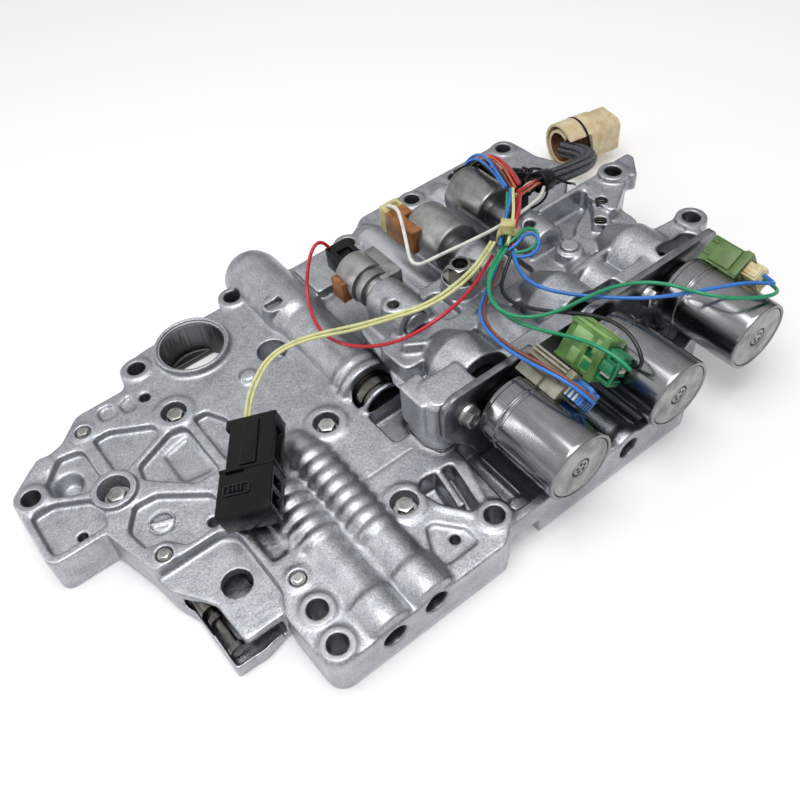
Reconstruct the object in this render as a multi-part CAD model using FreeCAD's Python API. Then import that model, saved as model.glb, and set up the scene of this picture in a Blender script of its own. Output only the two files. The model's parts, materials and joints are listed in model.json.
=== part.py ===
import FreeCAD, Part
import math
import os

os.makedirs("parts", exist_ok=True)
Vec = FreeCAD.Vector

# Driving sizes in mm. The origin is on the axis of the front left mounting
# hole, on the base plane. X runs along the casting, Y to the back, Z up.

# Lower casting
boss_top = 21.0
deck = 20.0
pocket_floor = 16.4
shallow_floor = 18.4
shelf_top = 14.5
shelf_floor = 3.0
front_face = -8.4
front_step = -3.6
mount_hole_r = 4.25
mount_boss_r = 7.4
draft = 0.9
mount_places = [(0.0, 0.0), (2.0, 16.4), (80.2, 4.7), (-63.8, 138.5), (5.5, 176.8), (65.8, 188.9),
                (134.0, 183.0), (182.3, 188.8), (213.0, 187.6), (250.6, 189.7)]
lower_outline = [(-8.2, front_face, 8), (75, front_face, 4), (81.5, front_step, 4), (187, front_step, 4),
                 (191, 12, 5), (220.5, 19.5, 3), (227, 46, 8), (243, 62, 10), (243, 130, 10), (257, 143, 6),
                 (266.5, 156.5, 5), (260.5, 172, 8), (259.5, 197, 7), (152, 196.5, 7), (142, 188.5, 8),
                 (46, 187, 2), (14, 186.5, 5), (-1.5, 184, 6), (-4.5, 169.5, 4), (-30, 169.5, 6),
                 (-42, 158.5, 6), (-58, 155, 6), (-71.5, 144, 7), (-71.5, 101, 5), (-46.5, 101, 2),
                 (-39, 71.5, 3), (-3.7, 71.5, 9), (-3.7, 33, 3), (-9, 22, 6)]

# Big vertical bore with its ring
ring_place = (32.8, 170.1)
ring_r = 18.7
ring_bore_r = 16.5
ring_lip_height = 3.0

ring_ledge = 11.0
ring_ledge_top = 3.0

# Screws and small features of the deck
ringed_boss = (-34.0, 118.0)
screw_places = [(6.5, 140.5), (55.8, 89.0), (56.4, 33.0)]
flush_places = [(-31.0, 158.0), (-32.0, 76.5), (3.6, 32.4)]
oil_holes = [(0.4, 158.5, 2.6), (-54.4, 109.2, 2.2), (-8.4, 79.6, 2.4), (61.8, 7.4, 2.2)]
counterbore_r = 5.8
screw_r = 3.0
gap = 0.1
screw_head_r = 4.6
flush_r = 3.1
screw_sink = 7.0
screw_grip = 9.0
screw_boss_r = 9.4
flush_grip = 6.0
under_floor = 7.0
under_ribs = [((100, 3), (100, 36)), ((118, 3), (118, 36)), ((135, 3), (135, 36)), ((166, 3), (166, 36))]
key_place = (75.6, 160.5)
ring_mark_place = (-25.4, 93.4)
key_boss_top = 30.0
key_floor = 10.0
key_wide = 9.0
dome_key_half = 2.1

# Shelf with the manual valve channel
shelf_outline = [(-39.8, 73, 1), (-38, 63.5, 2), (-26.5, 46.5, 4), (-25.5, 26.0, 1), (-8, 26.0, 1),
                 (-2, 30, 1), (-2, 73, 1)]
channel_outline = [(-47.5, 103, 0), (-41.5, 82.6, 3), (-38.3, 63.3, 4), (-34.0, 52, 3), (-33.7, 22.4, 1.2),
                   (-20, 21.8, 3), (-7, 25, 1), (-2, 30, 0), (-2, 103, 0)]
channel_rim = 1.6
channel_rim_top = 7.0
shelf_skin = 4.0
shelf_hole_place = (-15.2, 49.6)
shelf_hole_r = 6.3
manual_x = -28.8
manual_z = 8.0
manual_r = 4.4
manual_back = 94.0
manual_travel = 8.0

# Valve bores that open in the front face
bore_r = 5.2
fit_gap = 0.05
bore_places = [(20.1, 12.5, front_face), (40.1, 14.6, front_face), (149.4, 12.6, front_step)]
bore_depth = 78.0
plug_depth = 12.0
plug_length = 7.0
key_thick = 2.4
key_half = 4.0
key_slit_half = 2.2
valve_length = 42.0
spring_wire = 0.9
lobe_pitch = 6.7
# Outside of the two long ridges: the radius of the front barrel, of the plain
# stretch, of a lobe and of a valley, the first lobe, their number and the
# tail behind them as (distance, radius)
left_ridge = (12.5, 11.0, 12.2, 10.8, 38.0, 5, [(4.0, 6.5)])
right_ridge = (11.4, 10.0, 11.0, 9.8, 26.0, 8, [(6.0, 9.6), (12.0, 8.2), (17.5, 5.2)])
ridge_meeting = 30.1

# Large bore under the dome
dome_x = 83.6
dome_z = 16.0
dome_r = 15.6
dome_neck_r = 13.6
dome_rim = 1.2
dome_end = 198.0
dome_front = 82.0
window_front = 84.5
window_back = 95.0
dome_bore_r = 10.2
piston_length = 26.0

# Upper casting
plate_gap = 1.2
upper_base = boss_top + plate_gap
upper_deck = boss_top + 20.0
upper_top = boss_top + 30.0
flange_plane = 41.5
upper_back = 110.5
boss_end = upper_back + 6.5
wall_top = boss_top + 29.5
ridge_r = 15.6
between_ridges = [(140.6, 12.0), (193.5, 11.0)]
foot_place = (87.5, 47.8)
foot_r = 6.6
boss_hole_place = (105.5, 100.5)
flange_bolt_place = (142.0, 98.0)
flange_bolt_seat = boss_top + 28.0
bolt_shank_r = 3.0
flange_bolt_end = 12.0
tapped_place = (186.5, 100.0)
button_place = (193.5, 80.1)
pair_holes = [(219.1, 85.1), (228.8, 93.9)]
tapped_r = 2.6
pair_hole_r = 3.0
tap_depth = 16.0
upper_outline = [(83.5, flange_plane, 3), (243.5, flange_plane, 4), (243.5, 58, 5), (237, 64, 4),
                 (237, 84, 4), (239.5, 96, 6), (239.5, upper_back, 4), (127, upper_back, 3),
                 (122, boss_end + 1, 3), (96, boss_end + 1, 4), (91, 88, 6), (80, 66, 4), (80, 50, 3)]
land_outline = [(84, 42, 1), (222, 42, 0), (227, 47, 0), (237, 58, 0), (237, 84, 2), (239.5, 96, 3),
                (239.5, upper_back, 3), (127, upper_back, 3), (122, boss_end + 1, 3), (96, boss_end + 1, 3),
                (91, 88, 4), (80, 66, 2), (80, 50, 2)]
ear_r = 7.6
ear_depth = 11.0
ear_places = [(246.6, 54.0), (246.8, 104.0)]

# Linear solenoids
solenoid_xs = [112.7, 168.8, 218.4]
solenoid_z = boss_top + 16.4
can_r = 16.4
can_front = -9.6
can_back = 33.0
cap_depth = 1.6
groove_y = 22.5
collar_r = 10.8
sleeve_r = 8.6
sleeve_depth = 30.0
clamp_thick = 3.4
clamp_bolt_places = [(95.5, 41.0), (201.4, 40.0)]
clamp_bolt_r = 2.5
clamp_bolt_grip = 12.0

# Shift solenoids
shift_xs = [111.0, 157.0, 189.5]
shift_z = boss_top + 22.0
shift_can_rs = [10.2, 13.0, 13.0]
bracket_thick = 2.0
nose_r = 6.0
nose_depth = 20.0
shift_fronts = [upper_back + 17.0, upper_back + 8.5, upper_back + 16.5]
shift_backs = [upper_back + 30.5, upper_back + 36.5, upper_back + 44.5]

# Connector housings on the linear solenoids. The angle leans each away from
# the vertical, to the right when positive.
housing_leans = [60.0, -55.0, 60.0]
housing_fronts = [14.0, 16.0, 13.0]
housing_backs = [37.5, 37.5, 33.0]
housing_half = 9.0
housing_foot = 13.0
housing_top = 26.4
housing_wall = 1.7
plug_out = 7.0
plug_in = 11.0

# Connector of the transmission case, on its sleeve of wires
case_place = (278.3, 171.6, 17.0)
case_turn = -99.7
case_r = 13.8
case_length = 35.0
case_bore_r = 8.6
case_bore_depth = 17.0
insert_thick = 4.0

# Plug with two ways that lies on the deck
two_way_place = (0.7, 60.8, 30.6)
two_way_turn = -35.8
two_way_roll = -14.0
two_way_length = 50.0

# Wires, by the centre of their route
wire_r = 0.95
pair_r = 1.7
branch_r = 2.6
trunk_r = 3.9
sleeve_cover_r = 5.0
tape_length = 9.0
trunk_route = [(160.6, 88.0, 60.0), (165.8, 92.6, 60.8), (171.2, 97.2, 61.4), (177.0, 102.0, 61.8),
               (183.6, 108.2, 61.6), (189.6, 114.6, 60.8)]
sleeve_route = [(277.4, 168.0, 18.6), (278.6, 159.8, 20.0), (278.0, 151.4, 22.6), (272.6, 143.2, 26.2),
                (263.0, 137.6, 30.0), (251.4, 134.4, 34.2), (239.6, 132.0, 38.0), (229.0, 130.9, 41.0)]
yellow_route = [(26.7, 104.3, 31.6), (32.4, 111.8, 33.4), (40.0, 117.6, 35.6), (50.6, 123.4, 37.4),
                (62.6, 123.4, 39.2), (74.4, 117.4, 41.6), (85.4, 105.8, 46.6), (98.6, 90.8, 55.8),
                (115.2, 81.8, 61.0), (133.0, 82.6, 62.8), (148.0, 88.0, 62.4), (158.4, 94.4, 61.2)]
red_route = [(107.2, 154.0, 50.9), (105.6, 155.0, 54.4), (101.4, 154.8, 56.2), (96.6, 153.2, 53.6),
             (91.6, 149.8, 48.0), (86.8, 145.2, 41.2), (82.0, 135.6, 37.0), (78.9, 122.8, 35.6),
             (80.6, 109.8, 37.2), (85.6, 97.0, 41.4), (92.2, 84.6, 48.8), (101.2, 76.4, 56.0),
             (113.6, 73.6, 60.6), (128.4, 76.6, 60.4), (142.6, 83.4, 59.4), (154.6, 90.4, 57.6)]
white_route = [(146.2, 158.6, 52.0), (144.8, 148.8, 58.0), (139.2, 137.4, 59.4), (131.4, 123.6, 58.6),
               (125.0, 112.6, 57.4), (127.2, 108.6, 56.8), (138.6, 108.4, 56.2), (153.4, 107.2, 55.6),
               (168.6, 105.8, 55.6), (184.0, 105.8, 55.9), (196.6, 109.0, 54.1), (207.8, 114.4, 50.2),
               (217.0, 122.0, 46.4)]
blue_route_3 = [(162.6, 85.6, 59.4), (158.6, 79.8, 58.6), (155.0, 69.8, 57.6), (157.0, 58.9, 57.2),
                (164.2, 48.0, 57.0), (173.7, 36.8, 57.2), (184.2, 26.2, 57.4), (196.8, 18.0, 57.6),
                (209.6, 10.8, 58.2), (220.6, 4.2, 58.8), (228.4, -1.8, 57.6), (233.0, -2.6, 54.8),
                (235.6, 5.4, 53.0)]
green_route_3 = [(159.2, 86.0, 62.0), (149.4, 81.4, 62.6), (139.4, 75.6, 62.2), (131.8, 66.4, 61.8),
                 (131.4, 55.0, 61.4), (138.4, 46.8, 61.2), (149.6, 42.6, 61.0), (162.0, 41.0, 61.0),
                 (174.6, 38.8, 61.0), (186.4, 33.0, 61.0), (194.6, 23.6, 61.0), (199.0, 12.6, 60.8),
                 (205.6, 3.0, 60.2), (215.6, -3.4, 58.2), (226.6, -6.0, 54.6), (235.4, -3.6, 50.8),
                 (237.6, 5.4, 49.0)]
green_route_2 = [(157.6, 88.2, 60.6), (147.6, 83.2, 60.0), (138.8, 76.0, 59.2), (133.8, 65.4, 58.0),
                 (134.2, 53.0, 57.2), (138.4, 40.8, 58.2), (142.8, 29.2, 60.6), (145.6, 17.8, 62.4),
                 (147.4, 7.0, 61.6), (149.0, 0.4, 57.4), (151.4, 8.4, 54.4)]
black_route_2 = [(160.4, 84.6, 57.6), (152.6, 80.6, 53.8), (146.4, 75.6, 52.4), (144.2, 67.0, 52.4),
                 (146.6, 56.6, 54.2), (151.0, 45.0, 57.6), (156.0, 33.4, 61.6), (159.0, 21.8, 64.2),
                 (158.4, 10.8, 63.8), (155.6, 2.4, 60.0), (153.6, 1.4, 55.6), (154.2, 8.4, 52.0)]
pair_route_1 = [(156.6, 86.4, 56.6), (147.2, 80.4, 55.6), (136.6, 74.4, 55.4), (126.8, 66.4, 56.6),
                (121.8, 55.4, 58.6), (120.4, 43.4, 60.0), (121.0, 31.6, 61.0), (123.4, 20.0, 61.0),
                (126.6, 9.0, 58.6), (129.6, 0.4, 54.0), (130.9, 5.8, 50.8)]
branch_route = [(190.8, 117.2, 62.4), (194.8, 126.8, 62.6), (198.8, 137.6, 61.4), (201.8, 148.4, 58.2),
                (202.4, 156.4, 53.4), (201.2, 159.8, 48.5)]
feeder_route = [(191.3, 114.0, 60.1), (198.6, 117.0, 57.8), (205.8, 120.6, 54.4), (212.8, 125.0, 49.6),
                (219.7, 129.4, 44.2)]


def prism(wire, low, high):
    base = wire.copy()
    base.translate(Vec(0, 0, low))
    return Part.Face(base).extrude(Vec(0, 0, high - low))


# A closed outline in the XY plane. Each corner is (x, y, radius of its round).
def outline(corners):
    count = len(corners)
    starts = []
    for i in range(count):
        x, y, radius = corners[i]
        here = Vec(x, y, 0)
        to_last = Vec(corners[i - 1][0], corners[i - 1][1], 0) - here
        to_next = Vec(corners[(i + 1) % count][0], corners[(i + 1) % count][1], 0) - here
        to_last.normalize()
        to_next.normalize()
        half = to_last.getAngle(to_next) / 2
        if radius <= 0 or half > 1.55:
            starts.append((here, here, here))
            continue
        reach = radius / math.tan(half)
        middle = (to_last + to_next).normalize()
        centre = here + middle * (radius / math.sin(half))
        starts.append((here + to_last * reach, centre - middle * radius, here + to_next * reach))
    edges = []
    for i in range(count):
        first, peak, last = starts[i]
        following = starts[(i + 1) % count][0]
        if (last - first).Length > 0.001:
            edges.append(Part.Arc(first, peak, last).toShape())
        if (following - last).Length > 0.001:
            edges.append(Part.LineSegment(last, following).toShape())
    return Part.Wire(edges)


def post(x, y, low, high, radius, top_radius=None):
    if top_radius is None:
        return Part.makeCylinder(radius, high - low, Vec(x, y, low))
    return Part.makeCone(radius, top_radius, high - low, Vec(x, y, low))


def rod(x, z, front, back, radius):
    return Part.makeCylinder(radius, back - front, Vec(x, front, z), Vec(0, 1, 0))


def block(x1, x2, y1, y2, z1, z2):
    return Part.makeBox(x2 - x1, y2 - y1, z2 - z1, Vec(x1, y1, z1))


# A turned piece about an axis along Y. The profile is a list of (y, radius).
def turned(x, z, profile):
    points = [Vec(x, y, z + radius) for y, radius in profile]
    points = [Vec(x, profile[0][0], z)] + points + [Vec(x, profile[-1][0], z), Vec(x, profile[0][0], z)]
    clean = [points[0]]
    for point in points[1:]:
        if (point - clean[-1]).Length > 0.001:
            clean.append(point)
    face = Part.Face(Part.makePolygon(clean))
    return face.revolve(Vec(x, 0, z), Vec(0, 1, 0), 360)


# A rib with drafted sides between two places.
def rib(start, end, top_width, low, high):
    along = Vec(end[0] - start[0], end[1] - start[1], 0)
    length = along.Length
    along.normalize()
    side = Vec(-along.y, along.x, 0)
    foot = top_width / 2 + draft
    crest = top_width / 2
    origin = Vec(start[0], start[1], 0)
    points = [origin + side * foot + Vec(0, 0, low), origin + side * crest + Vec(0, 0, high),
              origin - side * crest + Vec(0, 0, high), origin - side * foot + Vec(0, 0, low)]
    return Part.Face(Part.makePolygon(points + [points[0]])).extrude(along * length)


# A pocket open at its top.
def pocket(corners, top, floor):
    return prism(outline(corners), floor, top)


def save(name, shape):
    shape.exportStep("parts/" + name + ".step")
    print(name, "solids", len(shape.Solids), "volume", round(shape.Volume, 1), "valid", shape.isValid())


# One cut by many tools, which are joined first because they overlap.
def cut_all(body, tools):
    return body.cut(tools[0].multiFuse(tools[1:]))


# The wavy outside of a valve bore: a lobe for each port, then a plain front.
def lobed_ridge(x, z, face, sizes, left, right):
    barrel_r, plain_r, lobe_r, valley_r, first_lobe, lobes, tail = sizes
    profile = [(face + 1.5, barrel_r - 0.6), (face + 6.5, barrel_r), (face + 16, barrel_r),
               (face + 18.5, plain_r)]
    profile.append((first_lobe, plain_r))
    for i in range(lobes):
        start = first_lobe + i * lobe_pitch
        profile.append((start + 0.18 * lobe_pitch, valley_r))
        profile.append((start + 0.42 * lobe_pitch, lobe_r))
        profile.append((start + 0.76 * lobe_pitch, lobe_r))
    end = first_lobe + lobes * lobe_pitch
    profile.append((end + 1.5, valley_r))
    for distance, radius in tail:
        profile.append((end + distance, radius))
    # Only the part that stands out of the deck is kept, between its two sides
    return turned(x, z, profile).common(block(left, right, face, profile[-1][0] + 1, deck - 1,
                                              z + 2 * barrel_r))


def lower_bodies():
    main = prism(outline(lower_outline), 0, deck)
    pieces = [prism(outline(shelf_outline), 0, shelf_top)]
    pieces.append(prism(outline(channel_outline), 0, shelf_floor))
    rim = outline(channel_outline)
    inner = rim.makeOffset2D(-channel_rim)
    pieces.append(prism(rim, 0, channel_rim_top).cut(prism(inner, shelf_floor, channel_rim_top + 1)))
    for x, y in mount_places:
        pieces.append(post(x, y, 0, boss_top, mount_boss_r))
    pieces.append(post(*ring_place, 0, boss_top, ring_r))
    pieces.append(post(*ring_place, boss_top, boss_top + ring_lip_height, ring_r - 0.6))
    # Round pads and screw bosses on the deck
    pieces.append(post(-52.5, 152.5, 0, boss_top - 0.4, 4.8))
    pieces.append(post(*ringed_boss, 0, boss_top + 1.5, 10.0))
    for x, y in screw_places:
        pieces.append(post(x, y, deck - 1, boss_top, screw_boss_r + 1, screw_boss_r))
    for x, y in flush_places:
        pieces.append(post(x, y, deck - 3, boss_top - 0.3, 5.3))
    # Domed bore along the back of the deck
    pieces.append(dome_shell())
    x, y = key_place
    key_boss = outline([(x - 6.5, y - 5.5, 5), (x + 6.5, y - 5.5, 5), (x + 6.5, y + 5.5, 5),
                        (x - 6.5, y + 5.5, 5)])
    pieces.append(prism(key_boss, boss_top - 4, key_boss_top))
    # Valve ridges
    x, z, face = bore_places[0]
    pieces.append(lobed_ridge(x, z, face, left_ridge, x - 20, ridge_meeting))
    x, z, face = bore_places[1]
    pieces.append(lobed_ridge(x, z, face, right_ridge, ridge_meeting, x + 20))
    x, z, face = bore_places[2]
    pieces.append(turned(x, z, [(face, 9.4), (face + 5, 9.4), (face + 7, 7.8), (face + 48, 7.8)]))
    # Raised pad under the harness, and a soft knob
    pieces.append(prism(outline([(98.5, 157, 2), (116, 157, 4), (116, 181, 2), (98.5, 181, 2)]), 0,
                        boss_top + 4))
    pieces.append(post(44, 136, deck - 3, boss_top + 1.4, 6, 3.6))
    # Flat land that carries the upper casting
    pieces.append(prism(outline(land_outline), deck - 1, boss_top))
    # Ridges beside the on and off solenoids
    pieces.append(turned(147, 14, [(118, 10), (182, 10), (190, 7)]))
    pieces.append(turned(199, 14, [(118, 9.5), (184, 9.5), (191, 6.5)]))
    return main, pieces


def key_slot(x, z, face):
    start = face + plug_depth - key_thick - gap
    return block(x - key_half - gap, x + key_half + gap, start, start + key_thick, -1, z + key_half + gap)


def dome_room():
    return rod(dome_x, dome_z, 60, 130, dome_neck_r + dome_rim + 0.5)


def dome_shell():
    rim = dome_neck_r + dome_rim
    return turned(dome_x, dome_z,
                  [(dome_front, 12.4), (window_back, 12.4), (window_back, rim), (window_back + 4.5, rim),
                   (window_back + 4.5, dome_neck_r), (window_back + 8, dome_neck_r),
                   (window_back + 8, rim - 0.5), (window_back + 11, rim - 0.5),
                   (window_back + 11, dome_neck_r), (149, dome_neck_r), (154, dome_r), (dome_end, dome_r),
                   (dome_end + 6, dome_r * 0.9), (dome_end + 11, dome_r * 0.65)])


def lower_ribs():
    high = boss_top - 0.3
    low = deck - 2
    ribs = [rib((65, 24), (74, 11), 2.4, low, high), rib((88.5, 34), (81.5, 12), 2.0, low, high)]
    return ribs


def lower_pockets():
    pockets = [
        [(-68, 105, 4), (-44, 105, 3), (-41.5, 114, 4), (-44.5, 122.5, 3), (-58, 130.5, 3), (-68, 130.5, 3)],
        [(-56, 133.5, 3), (-43.5, 126, 3), (-35.5, 131, 2), (-35.5, 149.5, 4), (-46, 152, 3), (-56, 142, 3)],
        [(-29.5, 130, 2), (-24.5, 126, 2), (-4, 135, 4), (-4.5, 141, 2), (-22, 151.5, 2), (-29.5, 151.5, 2)],
        [(-21.5, 116, 3), (-4, 99, 4), (7, 99, 2), (7, 130, 4), (-1, 132, 3), (-20, 124, 3)],
        [(-38.5, 96.5, 5), (-31, 106.5, 3), (-21, 105.5, 4), (-2, 90, 4), (-2, 74.5, 3), (-22, 74.5, 4),
         (-28.5, 83, 3), (-36.5, 84, 3)],
        [(11.5, 100, 2), (24, 104, 4), (23, 122, 3), (18, 132, 3), (11.5, 132, 2)],
    ]
    shallow = [
        [(50.5, 8, 4), (57, 21, 3), (68, 7.5, 3), (68, -0.5, 3), (50.5, -0.5, 3)],
        [(-21.5, 157.5, 2), (-13.5, 157.5, 1), (-13.5, 166, 3.5), (-21.5, 166, 3.5)],
        [(-11.5, 155, 3.5), (-4.5, 155, 3.5), (-4.5, 165, 1), (-11.5, 162, 1)],
        [(0, 45, 2), (8, 45, 3), (8, 66, 2), (0, 66, 2)],
    ]
    tools = [pocket(corners, boss_top + 1, pocket_floor) for corners in pockets]
    tools += [pocket(corners, boss_top + 1, shallow_floor) for corners in shallow]
    # The deeper part of the pocket beside the ringed boss
    tools.append(pocket([(-8.5, 106, 2), (5, 103, 2), (5, 128, 2), (-8.5, 124.5, 2)], pocket_floor + 1,
                        pocket_floor - 1.6))
    return tools


def lower_cuts():
    cuts = []
    for x, y in mount_places:
        cuts.append(post(x, y, -1, boss_top + 4, mount_hole_r))
    # Ring bore with its straight ledge at the underside
    x, y = ring_place
    bore = post(x, y, -1, boss_top + ring_lip_height + 1, ring_bore_r)
    ledge = block(x - 20, x + 20, y + ring_ledge, y + 20, -1, ring_ledge_top)
    cuts.append(bore.cut(ledge))
    # Shelf: its round hole, the hollow under it and the manual valve bore
    cuts.append(post(*shelf_hole_place, shelf_floor, shelf_top + 1, shelf_hole_r))
    hollow = outline([(-32.1, 24, 0), (-9.5, 24, 0), (-9.5, 62, 4), (-35.5, 62, 0), (-32.1, 50, 3)])
    cuts.append(prism(hollow, shelf_floor, shelf_top - shelf_skin))
    cuts.append(rod(manual_x, manual_z, 40, manual_back + manual_travel + 10, manual_r + fit_gap))
    # Valve bores with a step at the mouth and a slot for the plug's key
    for x, z, face in bore_places:
        cuts.append(rod(x, z, face - 1, face + bore_depth, bore_r))
        cuts.append(rod(x, z, face - 1, face + 0.8, bore_r + 0.8))
        cuts.append(key_slot(x, z, face))
    # Dome bore and the window in front of it
    cuts.append(rod(dome_x, dome_z, dome_front - 1, dome_end + 2, dome_bore_r))
    mouth = outline([(dome_x - 11.5, window_front, 3), (dome_x + 12, window_front, 3),
                     (dome_x + 12, window_back, 5), (dome_x - 11.5, window_back, 5)])
    cuts.append(prism(mouth, dome_z - 8, boss_top + 20))
    cuts.append(pocket([(72.5, 60, 3), (97, 60, 3), (97, 80.5, 2), (72.5, 80.5, 2)], boss_top + 2, 11.0))
    cuts.append(prism(outline([(84, 62, 3), (94, 62, 3), (94, 76, 3), (86, 76, 5)]), 4.0, 12.0))
    # Screws
    for x, y in screw_places:
        cuts.append(post(x, y, boss_top - screw_sink, boss_top + 4, counterbore_r))
        cuts.append(post(x, y, boss_top - screw_sink - screw_grip, boss_top, screw_r + gap))
    for x, y in flush_places:
        cuts.append(post(x, y, boss_top - 1.7, boss_top + 3, flush_r + 0.5))
        cuts.append(post(x, y, boss_top - 1.7 - flush_grip, boss_top, screw_r + gap))
    x, y = ringed_boss
    cuts.append(post(x, y, boss_top - screw_sink, boss_top + 3, 6.9))
    cuts.append(post(x, y, boss_top - screw_sink - screw_grip, boss_top, screw_r + gap))
    # Oil holes
    for x, y, radius in oil_holes:
        cuts.append(post(x, y, -1, boss_top + 1, radius))
    # Sunk cone beside the corner mount and the deep counterbore by the dome
    cuts.append(post(-48, 138, pocket_floor - 6, pocket_floor + 0.1, 4.0, 6.8))
    # Fine grooves across the deck beside the right ridge
    for y in (53.0, 55.6, 58.2):
        cuts.append(block(51, 76, y - 0.5, y + 0.5, deck - 0.8, boss_top + 1))
    cuts.append(post(61.5, 143.5, boss_top - 12, boss_top + 5, 7.2))
    # Cast ring mark with its bar
    x, y = ring_mark_place
    cuts.append(post(x, y, pocket_floor - 1, pocket_floor + 1, 5.6))
    # Triangle pocket and the raised bar beside the front mount
    cuts.append(pocket([(64.5, 34, 2), (69, 38, 2), (84, 36, 2), (79, 12.5, 1.5), (71, 13, 1.5)],
                       boss_top + 1, 8.0))
    # Floor under the solenoids
    cuts.append(pocket([(88, 1.2, 2), (187.5, 1.2, 3), (188, 20, 3), (212, 25, 3), (212, 32, 2), (240, 32, 0),
                        (240, flange_plane + gap, 0), (90.5, flange_plane + gap, 2)],
                       boss_top + 2, under_floor))
    cuts.append(block(81, 97.5, front_step - 1, front_step + 6, -1, 8.5))
    # Key slot through the dome
    x, y = key_place
    half = key_wide / 2 + gap
    cuts.append(block(x - half, x + half, y - dome_key_half - gap, y + dome_key_half + gap, key_floor,
                      key_boss_top + 1))
    # Hole for the flange bolt
    cuts.append(post(*flange_bolt_place, flange_bolt_end - 1, boss_top + 1, bolt_shank_r + gap))
    return cuts


def lower_casting():
    main, pieces = lower_bodies()
    body = main.multiFuse(pieces)
    # Nothing of the round ridges shows below the base
    body = body.cut(block(-200, 400, -100, 400, -50, 0))
    cut = cut_all(body, lower_pockets() + lower_cuts())
    x, y = ring_mark_place
    inside = [post(x, y, pocket_floor - 2, pocket_floor, 4.5)]
    inside.append(rib((x - 4.8, y + 2), (x + 4.8, y - 2), 1.0, pocket_floor - 2, pocket_floor + 0.8))
    inside.append(rib((73.8, 17), (77.5, 36), 3.4, 7, boss_top - 1.5))
    for start, end in under_ribs:
        inside.append(rib(start, end, 1.4, under_floor - 1, under_floor + 3.5))
    inside.append(post(95.5, 6.5, under_floor - 1, under_floor + 4.5, 4.6))
    x, z, face = bore_places[2]
    ridge = turned(x, z, [(face + 0.1, 9.4), (face + 5, 9.4), (face + 7, 7.8), (face + 48, 7.8)])
    ridge = ridge.cut(block(100, 200, -50, 100, -50, 0)).cut(rod(x, z, face - 1, face + bore_depth, bore_r))
    ridge = ridge.cut(key_slot(x, z, face))
    inside.append(ridge)
    inside += lower_ribs()
    return cut.multiFuse(inside).removeSplitter()


def upper_bodies():
    base = prism(outline(upper_outline), upper_base, upper_base + 9)
    pieces = []
    # Tall front wall that carries the clamp plates
    wall = outline([(80.5, flange_plane, 3), (243.5, flange_plane, 4), (243.5, flange_plane + 9, 4),
                    (80.5, flange_plane + 9, 3)])
    pieces.append(prism(wall, upper_base + 6, wall_top))
    # Left end block with its round foot
    pieces.append(prism(outline([(78.2, 46, 1), (97, 46, 1), (97, 62.5, 1), (78.2, 62.5, 2)]),
                        upper_base + 8, upper_top))
    pieces.append(post(*foot_place, upper_base, upper_base + 18, foot_r))
    pieces.append(prism(outline([(81.5, flange_plane, 4), (104.5, flange_plane, 1), (104.5, 57, 2),
                                 (83, 57, 6)]), upper_base + 6, upper_top + 1))
    # Deck behind the ridges
    deck_shape = outline([(91, 74, 4), (237, 74, 6), (239, 100, 6), (239, upper_back, 3),
                          (126, upper_back, 4), (120, 98, 6), (91, 96, 5)])
    pieces.append(prism(deck_shape, upper_base + 6, upper_deck))
    # Valve ridges in line with the linear solenoids and between them
    for x in solenoid_xs:
        pieces.append(turned(x, solenoid_z, [(flange_plane, ridge_r), (67, ridge_r), (80, ridge_r - 7)]))
    for x, radius in between_ridges:
        pieces.append(turned(x, solenoid_z - 2, [(50, radius), (71, radius), (80, radius - 4)]))
    # Ears with the outer mounting holes
    for x, y in ear_places:
        pieces.append(post(x, y, upper_top - ear_depth, upper_top, ear_r))
    x, y = ear_places[0]
    pieces.append(prism(outline([(226, y - 12, 2), (x, y - ear_r, 0), (x + 2, y + ear_r - 1, 0),
                                 (226, y + 9, 3)]), upper_top - ear_depth + 1.5, upper_top - 3))
    x, y = ear_places[1]
    pieces.append(prism(outline([(226, y - 22, 3), (x + 3, y - ear_r + 0.5, 0), (x + 3, y + ear_r - 0.5, 0),
                                 (226, y + 6.5, 2)]), upper_base + 6, upper_top - 3))
    pieces.append(prism(outline([(x, y - 6, 0), (x + 7, y - ear_r - 2.5, 1), (x + 17.5, y + 2, 1),
                                 (x + 17.5, y + 6.5, 1), (x, y + 6.5, 0)]), upper_top - ear_depth + 1,
                        upper_top - 0.8))
    # Boss with a tapped hole over the first shift solenoid
    x = shift_xs[0]
    pieces.append(turned(x, shift_z, [(92, 10.2), (boss_end, 10.2)]))
    pieces.append(prism(outline([(x - 10, 97, 2), (x + 10, 97, 2), (x + 10, boss_end, 0),
                                 (x - 10, boss_end, 0)]), upper_base + 8, shift_z))
    pieces.append(post(*boss_hole_place, shift_z, shift_z + 9.6, 5.6))
    for x in shift_xs[1:]:
        pieces.append(turned(x, shift_z, [(90, 10.5), (upper_back, 10.5)]))
    # Bosses on the deck
    pieces.append(post(*flange_bolt_place, upper_base + 6, flange_bolt_seat, 9.0))
    pieces.append(post(*tapped_place, upper_base + 6, upper_top - 1, 6.4))
    pieces.append(post(*button_place, upper_base + 6, upper_deck + 5.5, 6.8))
    pieces.append(post(*button_place, upper_deck + 5, upper_deck + 7.5, 4.2))
    pieces.append(rib((200, 108), (232, 108), 3.0, upper_base + 6, upper_top - 2))
    pieces.append(rib((178, 66), (206, 68), 3.0, upper_base + 6, upper_top - 4))
    pieces.append(rib((97, 84), (118, 70), 3.2, upper_base + 6, upper_deck + 5))
    pieces.append(rib((pair_holes[0][0] - 2, pair_holes[0][1] - 3), pair_holes[1], 8.0, upper_base + 6,
                      upper_deck + 5))
    pieces.append(post(*pair_holes[1], upper_base + 6, upper_deck + 5, 5.0))
    return base, pieces


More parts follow.
